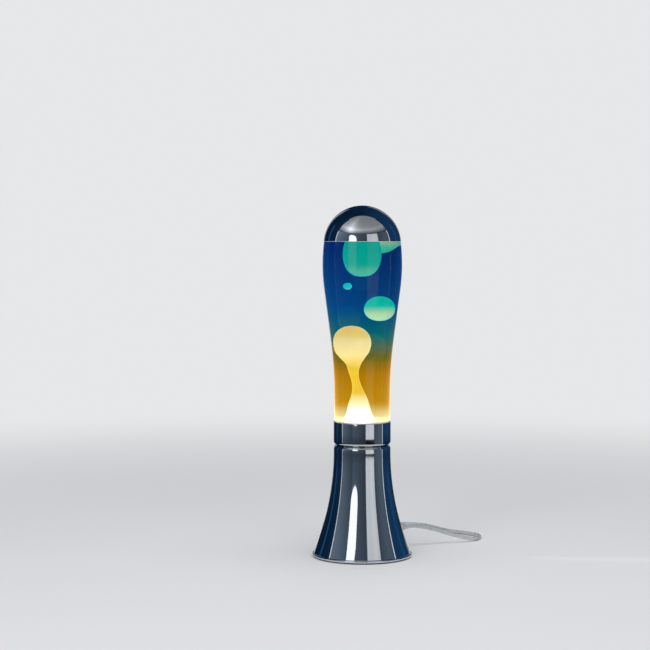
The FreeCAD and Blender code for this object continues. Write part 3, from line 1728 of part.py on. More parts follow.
def main():
    make_base_shell()
    make_foot_ring()
    make_base_plate()
    make_plate_lugs()
    make_plate_screws()
    make_collar()
    make_collar_screws()
    make_collar_nuts()
    make_seat_gasket()
    make_holder_bracket()
    make_lampholder()
    make_nipple()
    make_bulb()
    make_filament()
    make_bottle()
    make_bottle_closure()
    make_wire_ring()
    make_wax_and_liquid()
    make_dome()
    make_relief()
    make_clamp()
    make_terminal_block()
    make_inner_leads()
    tube("cord_run", make_relief_route(), value("cord_radius"))
    tube("cord_link", make_link_route(), value("cord_radius"))
    _, coil_end = make_coil()
    make_tie()
    make_plug(coil_end)
    make_switch()
    doc.recompute()
    write_nodes()


def write_nodes():
    """Checks every object and writes each sub-part to its own file."""
    faulty = [o.Label for o in doc.Objects if "Invalid" in o.State or "Error" in o.State]
    if faulty:
        raise RuntimeError(f"these objects failed: {faulty}")
    os.makedirs("parts", exist_ok=True)
    for name in NODES:
        thing = doc.getObjectsByLabel(name)[0]
        shape = thing.Shape
        if shape.isNull() or not shape.isValid() or not shape.Solids:
            raise RuntimeError(f"{name} has no valid solid")
        shape.exportStep(f"parts/{name}.step")


main()
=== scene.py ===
import json
import math

import bmesh
import bpy
import numpy as np
from bpy.props import FloatProperty, FloatVectorProperty, IntProperty, PointerProperty
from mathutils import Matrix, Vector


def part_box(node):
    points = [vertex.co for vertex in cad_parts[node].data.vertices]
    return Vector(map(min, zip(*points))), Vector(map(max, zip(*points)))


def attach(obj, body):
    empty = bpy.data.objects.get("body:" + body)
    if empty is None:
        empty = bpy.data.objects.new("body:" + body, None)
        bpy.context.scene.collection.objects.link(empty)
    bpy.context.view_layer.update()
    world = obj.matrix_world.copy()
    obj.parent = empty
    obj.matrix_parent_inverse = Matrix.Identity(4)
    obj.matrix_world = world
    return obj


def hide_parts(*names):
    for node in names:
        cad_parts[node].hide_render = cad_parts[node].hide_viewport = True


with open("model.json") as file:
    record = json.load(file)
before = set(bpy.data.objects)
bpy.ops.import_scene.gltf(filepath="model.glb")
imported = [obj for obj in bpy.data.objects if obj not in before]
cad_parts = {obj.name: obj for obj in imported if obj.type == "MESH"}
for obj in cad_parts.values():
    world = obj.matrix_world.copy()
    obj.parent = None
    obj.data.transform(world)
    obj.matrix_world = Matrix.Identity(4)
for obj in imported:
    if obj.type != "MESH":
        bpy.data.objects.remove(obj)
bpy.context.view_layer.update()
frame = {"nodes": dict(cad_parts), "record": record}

bl_info = {
    "name": "Liquid motion lamp",
    "version": (1, 0, 0),
    "blender": (4, 5, 0),
    "location": "3D View > Sidebar > Lamp",
    "description": "Builds the finished surfaces of a liquid motion lamp over its packed model",
    "category": "Add Mesh",
}

MM = 0.001


def linear(hex_colour):
    """An sRGB hex colour as linear red, green, blue and a full alpha."""
    parts = [int(hex_colour[i : i + 2], 16) / 255 for i in (1, 3, 5)]
    return (*(c / 12.92 if c <= 0.04045 else ((c + 0.055) / 1.055) ** 2.4 for c in parts), 1.0)


# Sizes and colours that a user would change.


def length(name, about, millimetres):
    return FloatProperty(name=name, description=about, default=millimetres * MM, min=0.0, unit="LENGTH")


def colour(name, about, hex_colour):
    return FloatVectorProperty(
        name=name, description=about, subtype="COLOR", default=linear(hex_colour)[:3], min=0.0, max=1.0
    )


class ChromeSizes(bpy.types.PropertyGroup):
    """Sizes of the chrome base, collar and dome."""

    wall: length("Wall", "Thickness of the spun sheet", 1.2)
    dome_wall: length("Dome wall", "Thickness of the pressed dome", 1.0)
    shoulder: length("Shoulder round", "Radius of the rounded edges at the neck", 4.5)
    bead: length("Bead", "Radius of the rolled foot bead", 1.75)
    bore: length("Bore", "Radius of the hole over the bulb", 22.0)
    segments: IntProperty(name="Segments", description="Steps round the axis", default=256, min=32)


class BottleSizes(bpy.types.PropertyGroup):
    """Sizes of the glass bottle and its filling."""

    wall: length("Wall", "Thickness of the glass", 2.4)
    waist: length("Waist", "Radius over the collar", 33.4)
    belly: length("Belly", "Largest radius", 47.5)
    belly_rise: length("Belly rise", "Height of the largest radius over the heel", 187.2)
    level: length("Level", "Height of the liquid over the floor", 399.0)
    segments: IntProperty(name="Segments", description="Steps round the axis", default=224, min=32)


class DyeColours(bpy.types.PropertyGroup):
    """Colours of the liquid as it is seen, from the foot of the bottle upwards."""

    # the pale foot and glow colours paint in the bulb's light shining up through the liquid
    foot: colour("Foot", "Over the bulb", "#D6C8AC")
    glow: colour("Glow", "Just over the foot", "#CAB270")
    gold: colour("Gold", "Under the amber", "#AC7A04")
    amber: colour("Amber", "Beside the column of wax", "#9A6800")
    olive: colour("Olive", "Where amber meets teal", "#5A5410")
    teal: colour("Teal", "Under the blue", "#025A5A")
    sea: colour("Sea", "Middle of the bottle", "#023E74")
    deep: colour("Deep", "Under the dome", "#01205C")


class WaxColours(bpy.types.PropertyGroup):
    """Colours of the wax with the bulb's light painted in, given off as its glow."""

    # near white where the bulb's light is painted in most
    column_foot: colour("Column foot", "In the pool over the bulb", "#FFFFFA")
    column_neck: colour("Column neck", "At its thinnest", "#CCB03A")
    column_head: colour("Column head", "Middle of the head", "#ECD090")
    column_crown: colour("Column crown", "Top of the head", "#F9B85A")
    # paler underside: painted light from below
    free_low: colour("Free wax, low", "Underside of the egg in the middle", "#C8DEA2")
    free_mid: colour("Free wax, middle", "Middle of the free wax", "#66CCA0")
    free_high: colour("Free wax, high", "Top of the free wax", "#03C4A0")
    # painted rim glow
    free_edge: colour("Free wax, edge", "Thin rim of the free wax", "#08D2CC")


class LeadSizes(bpy.types.PropertyGroup):
    """Sizes of the lead."""

    diameter: length("Diameter", "Across the sheath", 4.6)
    coil_radius: length("Coil radius", "Outermost turn of the spare lead", 35.85)
    pitch: length("Pitch", "From one turn to the next", 5.9)


class StageLook(bpy.types.PropertyGroup):
    """Colours and levels of the studio."""

    floor: colour("Floor", "Paper under the lamp", "#E2E3E5")
    backdrop: colour("Backdrop", "Behind the lamp", "#E6E7E9")
    night: colour("Night card", "Dark blue card behind the lamp, seen in its chrome", "#12304E")
    room: colour("Room card", "Dark card round the camera, seen in the chrome", "#46525F")
    window: colour("Window card", "Pale card, seen in the chrome", "#F4F8FF")
    key: FloatProperty(name="Key", description="Power of the tall soft light", default=8.0, unit="POWER")
    fill: FloatProperty(name="Fill", description="Power of the wide soft light", default=4.0, unit="POWER")
    top: FloatProperty(name="Top", description="Power of the overhead light", default=22.0, unit="POWER")


class LampSettings(bpy.types.PropertyGroup):
    """All settings of the lamp."""

    chrome: PointerProperty(type=ChromeSizes)
    bottle: PointerProperty(type=BottleSizes)
    dye: PointerProperty(type=DyeColours)
    wax: PointerProperty(type=WaxColours)
    lead: PointerProperty(type=LeadSizes)
    stage: PointerProperty(type=StageLook)


# Nodes.


def add(tree, kind, inputs=None, stops=None, **settings):
    """Adds a node with its settings and links.

    Inputs hold constants, other nodes' outputs, or nodes, which give their first output. Stops hold a ramp's
    places and colours.
    """
    node = tree.nodes.new(kind)
    for name, setting in settings.items():
        setattr(node, name, setting)
    for name, given in (inputs or {}).items():
        if isinstance(given, bpy.types.Node):
            given = given.outputs[0]
        if isinstance(given, bpy.types.NodeSocket):
            tree.links.new(given, node.inputs[name])
        else:
            node.inputs[name].default_value = given
    for i, (place, shade) in enumerate(stops or []):
        elements = node.color_ramp.elements
        stop = elements[i] if i < 2 else elements.new(place)
        stop.position = place
        stop.color = linear(shade) if isinstance(shade, str) else (*shade, 1.0)
    return node


def new_material(name):
    """An empty material and its node tree."""
    material = bpy.data.materials.new(name)
    material.use_nodes = True
    material.node_tree.nodes.clear()
    return material, material.node_tree


def surfaced(name, build):
    """A material whose surface is the Principled shader with the inputs that build makes in its tree."""
    material, tree = new_material(name)
    shader = add(tree, "ShaderNodeBsdfPrincipled", build(tree))
    add(tree, "ShaderNodeOutputMaterial", {"Surface": shader})
    return material


def places(tree, size, stretch=(1.0, 1.0, 1.0)):
    """Places on the piece, so scaled that one unit is a size in metres, and stretched along some axes."""
    spot = add(tree, "ShaderNodeTexCoord").outputs["Object"]
    scale = tuple(s / size for s in stretch)
    return add(tree, "ShaderNodeMapping", {"Vector": spot, "Scale": scale})


def spread(tree, given, low, high, start=0.0, end=1.0, **settings):
    """A value that goes from low to high as the given one goes from its start to its end."""
    ends = {"Value": given, "From Min": start, "From Max": end, "To Min": low, "To Max": high}
    return add(tree, "ShaderNodeMapRange", ends, **settings)


def height(tree, low, high):
    """How far up a point lies between two heights in metres, from 0 to 1."""
    spot = add(tree, "ShaderNodeTexCoord").outputs["Object"]
    rise = add(tree, "ShaderNodeSeparateXYZ", {"Vector": spot}).outputs["Z"]
    return spread(tree, rise, 0.0, 1.0, low, high)


def noise(tree, size, detail=4.0, stretch=(1.0, 1.0, 1.0)):
    """Cloudy noise from 0 to 1 whose clouds measure a size in metres."""
    spots = places(tree, size, stretch)
    return add(tree, "ShaderNodeTexNoise", {"Vector": spots, "Scale": 1.0, "Detail": detail})


def grain(tree, size, strength, depth, detail=3.0, stretch=(1.0, 1.0, 1.0)):
    """A bumpy normal whose grains measure a size in metres and stand depth proud."""
    rise = noise(tree, size, detail, stretch)
    return add(tree, "ShaderNodeBump", {"Height": rise, "Strength": strength, "Distance": depth})


def mottled(tree, size, dark, light):
    """A colour that wanders between two in patches of a size in metres."""
    return add(tree, "ShaderNodeValToRGB", {"Fac": noise(tree, size)}, [(0.3, dark), (0.7, light)])


# Materials, each named for the real one and for how its surface was made.


def chromium_plate():
    """Spun steel, polished and chromium plated: a neutral mirror, faint turning lines, a haze of handling."""
    return surfaced(
        "spun_steel_chromium_plate",
        lambda tree: {
            "Base Color": mottled(tree, 40 * MM, "#D4D6D9", "#DADCDE"),
            "Metallic": 1.0,
            "Roughness": spread(tree, noise(tree, 18 * MM), 0.03, 0.08),
            # turning lines 0.8 mm apart, drawn coarser than the real ones so that they show
            "Normal": grain(tree, 0.8 * MM, 0.05, 0.01 * MM, 2.0, (0.02, 0.02, 1.0)),
        },
    )


def moulded_glass():
    """Clear glass blown in a mould: slow waves bend its highlights, and its edges give off painted glow for
    the bulb's light.
    """

    def build(tree):
        # painted glow: the more edge-on the glass, the more light it gives off, warm low down and blue higher
        # up
        edge = add(tree, "ShaderNodeLayerWeight", {"Blend": 0.25}).outputs["Facing"]
        edge = add(tree, "ShaderNodeMath", {0: edge, 1: 3.0}, operation="POWER")
        up = height(tree, BOTTLE_LOW.z * MM, BOTTLE_HIGH.z * MM)
        warm = [(0.02, "#FFF2C8"), (0.12, "#FFD878"), (0.3, "#E09820"), (0.42, "#70602C")]
        cool = [(0.55, "#1C545C"), (0.7, "#124270"), (0.95, "#0E3058")]
        light = add(tree, "ShaderNodeValToRGB", {"Fac": up}, warm + cool)
        # where light leaves the glass it meets the liquid, which hardly turns any of it back
        leaving = add(tree, "ShaderNodeNewGeometry").outputs["Backfacing"]
        wet = add(tree, "ShaderNodeValToRGB", {"Fac": leaving}, [(0.0, "#B8B8B8"), (1.0, "#000000")])
        return {
            "Base Color": mottled(tree, 60 * MM, "#F6FBFB", "#FCFEFE"),
            "Roughness": spread(tree, noise(tree, 30 * MM), 0.0, 0.012),
            "IOR": 1.5,
            "Specular Tint": wet,
            "Transmission Weight": 1.0,
            "Normal": grain(tree, 26 * MM, 0.06, 0.06 * MM, 1.0),
            "Emission Color": light,
            "Emission Strength": spread(tree, edge, 0.0, 3.2),
        }

    return surfaced("mould_blown_clear_glass", build)


def tinted_liquid(dye, level):
    """Dyed water, amber at the foot and blue at the top: clear and saturated, with a painted glow for the
    bulb's light in it.

    A clear surface lets through the root of its colour, so two of them let through the dye when their powers
    of it add up to 2. The nearer one takes the smaller power, so wax near the glass keeps most of its light.
    """

    def build(tree):
        up = height(tree, BOTTLE_LOW.z * MM, level)
        names = ("foot", "glow", "gold", "amber", "olive", "teal", "sea", "deep")
        shares = (0.04, 0.08, 0.13, 0.28, 0.36, 0.46, 0.6, 0.88)
        stops = [(share, getattr(dye, name)) for share, name in zip(shares, names)]
        seen = add(tree, "ShaderNodeValToRGB", {"Fac": up}, stops)
        near = add(tree, "ShaderNodeGamma", {"Color": seen, "Gamma": 0.1})
        far = add(tree, "ShaderNodeGamma", {"Color": seen, "Gamma": 1.9})
        leaving = add(tree, "ShaderNodeNewGeometry").outputs["Backfacing"]
        tint = add(tree, "ShaderNodeMixRGB", {"Fac": leaving, "Color1": near, "Color2": far})
        # painted glow for the bulb's light in the liquid: strongest over the bulb, and in the upper half
        # weaker towards +X
        painted_glow = spread(tree, up, 0.6, 0.32, 0.0, 0.16)
        spot = add(tree, "ShaderNodeTexCoord").outputs["Object"]
        side = add(tree, "ShaderNodeSeparateXYZ", {"Vector": spot}).outputs["X"]
        thinner = spread(tree, side, 0.0, 0.7, -40 * MM, 40 * MM)
        high = spread(tree, up, 0.0, 1.0, 0.45, 0.65)
        loss = add(tree, "ShaderNodeMath", {0: thinner, 1: high}, operation="MULTIPLY")
        kept = spread(tree, loss, 1.0, 0.0)
        painted_glow = add(tree, "ShaderNodeMath", {0: painted_glow, 1: kept}, operation="MULTIPLY")
        return {
            "Base Color": tint,
            "Roughness": 0.0,
            "IOR": 1.34,
            # its skin lies in glass that bends light as much as it does, so it has no shine of its own
            "Specular Tint": (0.0, 0.0, 0.0, 1.0),
            "Transmission Weight": 1.0,
            "Emission Color": seen,
            "Emission Strength": painted_glow,
        }

    return surfaced("dyed_clear_water", build)


def lit_wax(name, low, high, stops, edge, glow):
    """Molten paraffin wax with the bulb's light painted in as glow: cloudy by height, brighter underneath and
    at its rim.
    """

    def build(tree):
        shade = add(tree, "ShaderNodeValToRGB", {"Fac": height(tree, low, high)}, stops)
        # painted rim glow: faces seen edge-on take the rim colour
        rim_glow = add(tree, "ShaderNodeLayerWeight", {"Blend": 0.3}).outputs["Facing"]
        rim_glow = add(tree, "ShaderNodeMath", {0: rim_glow, 1: 2.0}, operation="POWER")
        shade = add(tree, "ShaderNodeMixRGB", {"Fac": rim_glow, "Color1": shade, "Color2": (*edge, 1.0)})
        # painted light from below: undersides glow brighter, tops dimmer
        facing = add(tree, "ShaderNodeTexCoord").outputs["Normal"]
        down = add(tree, "ShaderNodeSeparateXYZ", {"Vector": facing}).outputs["Z"]
        under = spread(tree, down, 0.85, 1.15, 1.0, -1.0)
        # slow clouds of half-melted wax, 14 mm across
        cloud = spread(tree, noise(tree, 14 * MM, 2.0), 0.92 * glow, 1.08 * glow)
        light = add(tree, "ShaderNodeMath", {0: under, 1: cloud}, operation="MULTIPLY")
        return {
            "Base Color": mottled(tree, 14 * MM, "#8C8448", "#A09858"),
            "Roughness": 0.5,
            "Emission Color": shade,
            "Emission Strength": light,
        }

    return surfaced(name, build)


def reflector_bulb_glass():
    """Blown bulb glass: mirrored inside round its neck, pearl frosted over its face, which glows warm."""
    material, tree = new_material("blown_pearl_reflector_glass")
    mirror = add(
        tree,
        "ShaderNodeBsdfPrincipled",
        {
            "Base Color": mottled(tree, 15 * MM, "#D8D8D6", "#E2E2E0"),
            "Metallic": 1.0,
            "Roughness": spread(tree, noise(tree, 8 * MM), 0.1, 0.16),
        },
    )
    face = add(
        tree,
        "ShaderNodeBsdfPrincipled",
        {
            "Base Color": mottled(tree, 10 * MM, "#FFF1DA", "#FFF6E6"),
            "Roughness": 0.5,
            "Normal": grain(tree, 0.5 * MM, 0.2, 0.02 * MM),
            "Emission Color": linear("#FFE2A6"),
            "Emission Strength": 6.0,
        },
    )
    share = height(tree, 124 * MM, 131 * MM)
    both = add(tree, "ShaderNodeMixShader", {0: share, 1: mirror, 2: face})
    add(tree, "ShaderNodeOutputMaterial", {"Surface": both})
    return material


def metal(name, dark, light, rough, patch, lines=(1.0, 1.0, 1.0)):
    """Bare or plated metal: mottled colour, uneven shine and fine lines along the way it was worked.

    Its patches are given in millimetres.
    """
    patch = patch * MM
    return surfaced(
        name,
        lambda tree: {
            "Base Color": mottled(tree, patch, dark, light),
            "Metallic": 1.0,
            "Roughness": spread(tree, noise(tree, patch / 2), rough * 0.75, rough * 1.3),
            "Normal": grain(tree, 0.6 * MM, 0.15, 0.02 * MM, 3.0, lines),
        },
    )


def solid(name, dark, light, rough, size, strength, depth, coat=0.0, ior=1.5):
    """Moulded, cast or coated stuff: wandering colour, uneven shine and a grain, given in millimetres."""
    size, depth = size * MM, depth * MM
    return surfaced(
        name,
        lambda tree: {
            "Base Color": mottled(tree, 20 * size, dark, light),
            "Roughness": spread(tree, noise(tree, 12 * size), rough * 0.85, rough * 1.15),
            "IOR": ior,
            "Coat Weight": coat,
            "Coat Roughness": 0.08,
            "Normal": grain(tree, size, strength, depth),
        },
    )


def threaded_aluminium():
    """Thin aluminium rolled with a screw thread: dull silver, one ring every 3 mm."""

    def build(tree):
        rings = add(
            tree,
            "ShaderNodeTexWave",
            {"Vector": places(tree, 3 * MM), "Scale": 2 * math.pi / 20},
            bands_direction="Z",
        )
        ridges = {"Height": rings.outputs["Fac"], "Strength": 0.8, "Distance": 0.5 * MM}
        return {
            "Base Color": mottled(tree, 6 * MM, "#C8C8C6", "#DADAD8"),
            "Metallic": 1.0,
            "Roughness": spread(tree, noise(tree, 4 * MM), 0.25, 0.4),
            "Normal": add(tree, "ShaderNodeBump", ridges),
        }

    return surfaced("rolled_thread_aluminium", build)


def clear_sheathed_lead():
    """Clear PVC extruded over tinned braid: silvery and glossy, with slanting plaits under the skin."""

    def build(tree):
        # plaits 1.6 mm wide, drawn coarser than the real ones so that they show
        plait = add(
            tree,
            "ShaderNodeTexWave",
            {"Vector": places(tree, 1.6 * MM), "Scale": 2 * math.pi / 20, "Distortion": 1.5, "Detail": 1.0},
            bands_direction="DIAGONAL",
        )
        shades = [(0.15, "#BABFC2"), (0.85, "#C8CCCE")]
        return {
            "Base Color": add(tree, "ShaderNodeValToRGB", {"Fac": plait.outputs["Fac"]}, shades),
            "Metallic": 0.15,
            "Roughness": spread(tree, noise(tree, 9 * MM), 0.22, 0.34),
            "IOR": 1.52,
            "Coat Weight": 1.0,
            "Coat Roughness": 0.12,
            "Normal": grain(tree, 2 * MM, 0.05, 0.02 * MM),
        }

    return surfaced("clear_pvc_over_tinned_braid", build)


def hot_tungsten():
    """Coiled tungsten wire, white hot: drawn grey metal under its own light."""
    return surfaced(
        "drawn_tungsten_white_hot",
        lambda tree: {
            "Base Color": mottled(tree, 2 * MM, "#6A6660", "#8A8680"),
            "Metallic": 1.0,
            "Roughness": 0.4,
            "Emission Color": linear("#FFD48A"),
            "Emission Strength": 4.0,
        },
    )


def free_wax(node, stops, glow):
    """Wax of one free piece. Its stops are shares of the piece's height, rising, and names of wax colours."""
    look = bpy.context.scene.lamp.wax
    low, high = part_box(node)
    shades = [(share, getattr(look, name)) for share, name in stops]
    return lit_wax(node + "_paraffin", low.z, high.z, shades, look.free_edge, glow)


def make_finishes(lamp):
    """Every material of the lamp by its slot in the record."""
    wax = lamp.wax
    column = [
        (0.0, wax.column_foot),
        (0.2, wax.column_foot),
        (0.36, wax.column_neck),
        (0.6, wax.column_neck),
        (0.72, wax.column_head),
        (0.85, wax.column_head),
        (0.93, wax.column_crown),
    ]
    return {
        "chrome": chromium_plate(),
        "bottle_glass": moulded_glass(),
        "bulb_glass": reflector_bulb_glass(),
        "tinted_liquid": tinted_liquid(lamp.dye, lamp.bottle.level),
        "wax_warm": lit_wax("molten_wax_rising", 153 * MM, 277 * MM, column, wax.column_head, 1.3),
        "wax_cool": free_wax("wax_upper_blob", ((0.0, "free_mid"), (0.3, "free_high")), 0.8),
        # vulcanised rubber, moulded matt: near black with a dusty grain
        "rubber": solid("moulded_black_rubber", "#181818", "#242423", 0.75, 0.8, 0.4, 0.06),
        # silicone, moulded: milky and satin
        "silicone": solid("moulded_milky_silicone", "#C9CAC6", "#DADBD8", 0.5, 0.6, 0.15, 0.02),
        # lacquer sprayed on steel sheet: dark satin with a fine orange peel
        "lacquered_steel": solid("sprayed_black_lacquer", "#16171A", "#202226", 0.42, 1.2, 0.25, 0.03, 0.3),
        # zinc plated on steel: cool grey with cloudy crystals
        "zinc_steel": metal("zinc_plated_steel", "#9FA4A8", "#BEC2C4", 0.32, 5),
        # rolled brass sheet: warm yellow with rolling lines
        "brass": metal("rolled_brass_sheet", "#B8943C", "#D2B05C", 0.26, 8, (0.05, 1.0, 1.0)),
        # nickel plated on turned brass: warm grey shine with turning rings
        "nickel_brass": metal("nickel_plated_turned_brass", "#BDB8AC", "#D2CEC4", 0.18, 6, (0.05, 1.0, 0.05)),
        "cap_aluminium": threaded_aluminium(),
        # steatite, pressed and fired: cream white under a clear glaze
        "holder_ceramic": solid("glazed_steatite", "#DDD9CD", "#ECE8DE", 0.22, 1.0, 0.12, 0.03, 0.6),
        # black glass, cast hot: deep black and shiny
        "black_glass": solid("cast_black_glass", "#08080A", "#111114", 0.12, 1.0, 0.1, 0.02, 0.4, 1.52),
        "filament_wire": hot_tungsten(),
        # white lacquer rolled on tinplate: cream gloss
        "cap_lacquer": solid("rolled_white_lacquer", "#D6D5CE", "#E6E5E0", 0.3, 1.5, 0.15, 0.02, 0.5),
        # foamed liner, die cut: off-white and matt
        "liner": solid("die_cut_foam_liner", "#CFCEC8", "#E0DFDA", 0.7, 0.5, 0.5, 0.05),
        "cord_sheath": clear_sheathed_lead(),
        # PVC, injection moulded: pale grey with a fine spark-eroded grain
        "moulded_plastic": solid("grained_grey_pvc", "#BCC0C2", "#CBCED0", 0.38, 0.5, 0.3, 0.03),
        # nylon strap, moulded: black, satin
        "tie_plastic": solid("moulded_black_nylon", "#1C1C1D", "#29292A", 0.45, 0.5, 0.25, 0.03),
        # polyamide, injection moulded: creamy and satin
        "clamp_plastic": solid("moulded_cream_polyamide", "#D2CEC2", "#E0DCD2", 0.4, 0.6, 0.25, 0.03),
        # PVC insulation, extruded: glossy brown and blue
        "brown_wire": solid("extruded_brown_pvc", "#5A3418", "#6E4222", 0.3, 0.5, 0.1, 0.01),
        "blue_wire": solid("extruded_blue_pvc", "#16509E", "#2062B4", 0.3, 0.5, 0.1, 0.01),
    }


FINISHES = {}


# Surfaces.


def put(name, data):
    """An object of the data, in the scene."""
    piece = bpy.data.objects.new(name, data)
    bpy.context.scene.collection.objects.link(piece)
    return piece


def skin(name, grid, looped=False, crisp=40.0):
    """A mesh over a grid of places, whose columns wrap round, and its rows too when looped.

    Rows that shrink to a point close as a pole. Edges sharper than crisp degrees stay crisp.
    """
    rows, around = grid.shape[:2]
    index = np.arange(rows * around).reshape(rows, around)
    if looped:
        index = np.vstack([index, index[:1]])
    low, high = index[:-1], index[1:]
    quads = np.stack([low, np.roll(low, -1, 1), np.roll(high, -1, 1), high], -1).reshape(-1, 4)
    mesh = bpy.data.meshes.new(name)
    mesh.from_pydata(grid.reshape(-1, 3), [], quads.tolist())
    work = bmesh.new()
    work.from_mesh(mesh)
    bmesh.ops.remove_doubles(work, verts=work.verts, dist=1e-7)
    bmesh.ops.recalc_face_normals(work, faces=work.faces)
    work.to_mesh(mesh)
    work.free()
    mesh.shade_smooth()
    mesh.set_sharp_from_angle(angle=math.radians(crisp))
    return put(name, mesh)


def turned(section, segments):
    """Each point (r, z) of a half section goes round the axis as (r cos a, r sin a, z)."""
    angle = np.linspace(0, 2 * np.pi, segments, endpoint=False)
    r, z = section[:, :1], section[:, 1:]
    return np.stack([r * np.cos(angle), r * np.sin(angle), np.broadcast_to(z, (len(section), segments))], -1)


def arc(centre, radius, start, end, steps):
    """Points of an arc: the centre plus radius times (cos, sin), from start to end in degrees."""
    angle = np.radians(np.linspace(start, end, steps))
    return np.column_stack([centre[0] + radius * np.cos(angle), centre[1] + radius * np.sin(angle)])


def outline(*runs):
    """A half section in metres from points and arcs given in millimetres."""
    return np.vstack([np.atleast_2d(np.array(run, float)) for run in runs]) * MM


def smooth_line(table, steps):
    """A smooth line through a table's rows.

    Each span is a cubic whose slope at each end is half the way between the two rows beside that end.
    """
    rows = np.array(table, float)
    rows = np.vstack([2 * rows[0] - rows[1], rows, 2 * rows[-1] - rows[-2]])
    place = np.linspace(0, len(rows) - 3 - 1e-9, steps)
    i = place.astype(int)
    t = (place - i)[:, None]
    a, b, c, d = rows[i], rows[i + 1], rows[i + 2], rows[i + 3]
    return 0.5 * (2 * b + (c - a) * t + (2 * a - 5 * b + 4 * c - d) * t**2 + (3 * b - a - 3 * c + d) * t**3)


def finish(piece, body, slot, *nodes):
    """Finishes a new piece: its slot and material, the CAD nodes it stands for and the body it rides."""
    piece.data.materials.append(FINISHES[slot])
    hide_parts(*nodes)
    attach(piece, body)
    return piece


# Corners of CAD pieces that the new ones line up with, in millimetres.

SHELL_LOW, SHELL_HIGH = (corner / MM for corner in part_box("base_shell"))
COLLAR_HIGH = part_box("collar")[1] / MM
DOME_LOW, DOME_HIGH = (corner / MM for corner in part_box("dome_cap"))
BOTTLE_LOW, BOTTLE_HIGH = (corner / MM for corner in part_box("bottle_glass"))
HEEL = COLLAR_HIGH.z + 0.8
LEDGE = DOME_LOW.z - 0.4


# The chrome.


def base_outline(sizes):
    """Half section of the base: a flat top, a round shoulder, a hollow flare and a rolled bead.

    The flare is one arc that leaves the straight neck upright. Its radius comes from how far it goes out and
    how far down: (out squared + down squared) over twice out.
    """
    wall, curl, bead, bore = (x / MM for x in (sizes.wall, sizes.shoulder, sizes.bead, sizes.bore))
    top, foot, reach = SHELL_HIGH.z, SHELL_LOW.z, SHELL_HIGH.x
    neck = COLLAR_HIGH.x - 0.2
    flare_top, flare_low = top - 8.5, foot + 2 * bead
    out, down = reach - bead - neck, flare_top - flare_low
    curve = (out**2 + down**2) / (2 * out)
    centre = (neck + curve, flare_top)
    low_angle = math.degrees(math.asin(down / curve))
    inner_angle = math.degrees(math.asin(down / (curve + wall)))
    return outline(
        (bore, top),
        arc((neck - curl, top - curl), curl, 90, 0, 12),
        arc(centre, curve, 180, 180 + low_angle, 90),
        arc((reach - bead, foot + bead), bead, 90, -90, 18),
        (reach - bead - wall, foot),
        (reach - bead - wall, foot + bead),
        arc(centre, curve + wall, 180 + inner_angle, 180, 60),
        arc((neck - curl, top - curl), curl - wall, 0, 90, 10),
        (bore, top - wall),
    )


def collar_outline(sizes):
    """Half section of the collar: a flat floor, a round foot edge, a straight wall and a lip turned in."""
    wall, curl, bore = (x / MM for x in (sizes.wall, sizes.shoulder, sizes.bore))
    low, high, reach = SHELL_HIGH.z, COLLAR_HIGH.z, COLLAR_HIGH.x
    edge = wall / 2
    lip = reach - 3.2
    return outline(
        (bore, low),
        arc((reach - curl, low + curl), curl, -90, 0, 14),
        arc((reach - edge, high - edge), edge, 0, 90, 6),
        (lip, high),
        (lip, high - wall),
        (reach - wall, high - wall),
        arc((reach - curl, low + curl), curl - wall, 0, -90, 10),
        (bore, low + wall),
    )


def dome_outline(sizes):
    """Half section of the dome, a part of a ball: its radius is (rim squared + rise squared) / (2 rise)."""
    rim, rise, wall = DOME_HIGH.x, DOME_HIGH.z - DOME_LOW.z, sizes.dome_wall / MM
    radius = (rim**2 + rise**2) / (2 * rise)
    middle = DOME_HIGH.z - radius
    low = math.degrees(math.asin((DOME_LOW.z - middle) / radius))
    low_in = math.degrees(math.asin((DOME_LOW.z - middle) / (radius - wall)))
    return outline(arc((0, middle), radius - wall, 90, low_in, 60), arc((0, middle), radius, low, 90, 72))


class LAMP_OT_base(bpy.types.Operator):
    """Builds the chromed base shell and the collar under the bottle"""

    bl_idname = "lamp.base"
    bl_label = "Chrome base"

    def execute(self, context):
        sizes = context.scene.lamp.chrome
        shell = skin("chrome_base", turned(base_outline(sizes), sizes.segments), looped=True)
        finish(shell, "base", "chrome", "base_shell")
        collar = skin("chrome_collar", turned(collar_outline(sizes), sizes.segments), looped=True)
        finish(collar, "base", "chrome", "collar")
        return {"FINISHED"}


class LAMP_OT_dome(bpy.types.Operator):
    """Builds the pressed chrome dome over the bottle's shoulder"""

    bl_idname = "lamp.dome"
    bl_label = "Chrome dome"

    def execute(self, context):
        sizes = context.scene.lamp.chrome
        dome = skin("chrome_dome", turned(dome_outline(sizes), sizes.segments))
        finish(dome, "dome", "chrome", "dome_cap")
        return {"FINISHED"}


# The bottle and what it holds.


# Hidden or lesser forms of the bottle, in millimetres and degrees
SPIGOT_INSET = 3.9
SHOULDER, SHOULDER_ROUND, NECK = 44.5, 19.0, 17.5
WAIST_CURVE, BELLY_CURVE, CONE = 520.0, 220.0, 7.55


def bottle_side(sizes, inset, top):
    """The bottle's side from waist to a height, at an inset from its skin.

    A wide arc leaves the upright waist, a straight cone follows, and a long arc rounds the belly.
    """
    waist, belly = sizes.waist / MM, sizes.belly / MM
    lean = math.radians(CONE)
    belly_height = HEEL + sizes.belly_rise / MM
    run = belly - waist - (BELLY_CURVE + WAIST_CURVE) * (1 - math.cos(lean))
    waist_top = belly_height - (BELLY_CURVE + WAIST_CURVE) * math.sin(lean) - run / math.tan(lean)
    high = math.degrees(math.asin((top - belly_height) / (BELLY_CURVE - inset)))
    return (
        arc((waist + WAIST_CURVE, waist_top), WAIST_CURVE + inset, 180, 180 - math.degrees(lean), 30),
        arc((belly - BELLY_CURVE, belly_height), BELLY_CURVE - inset, -math.degrees(lean), high, 60),
    )


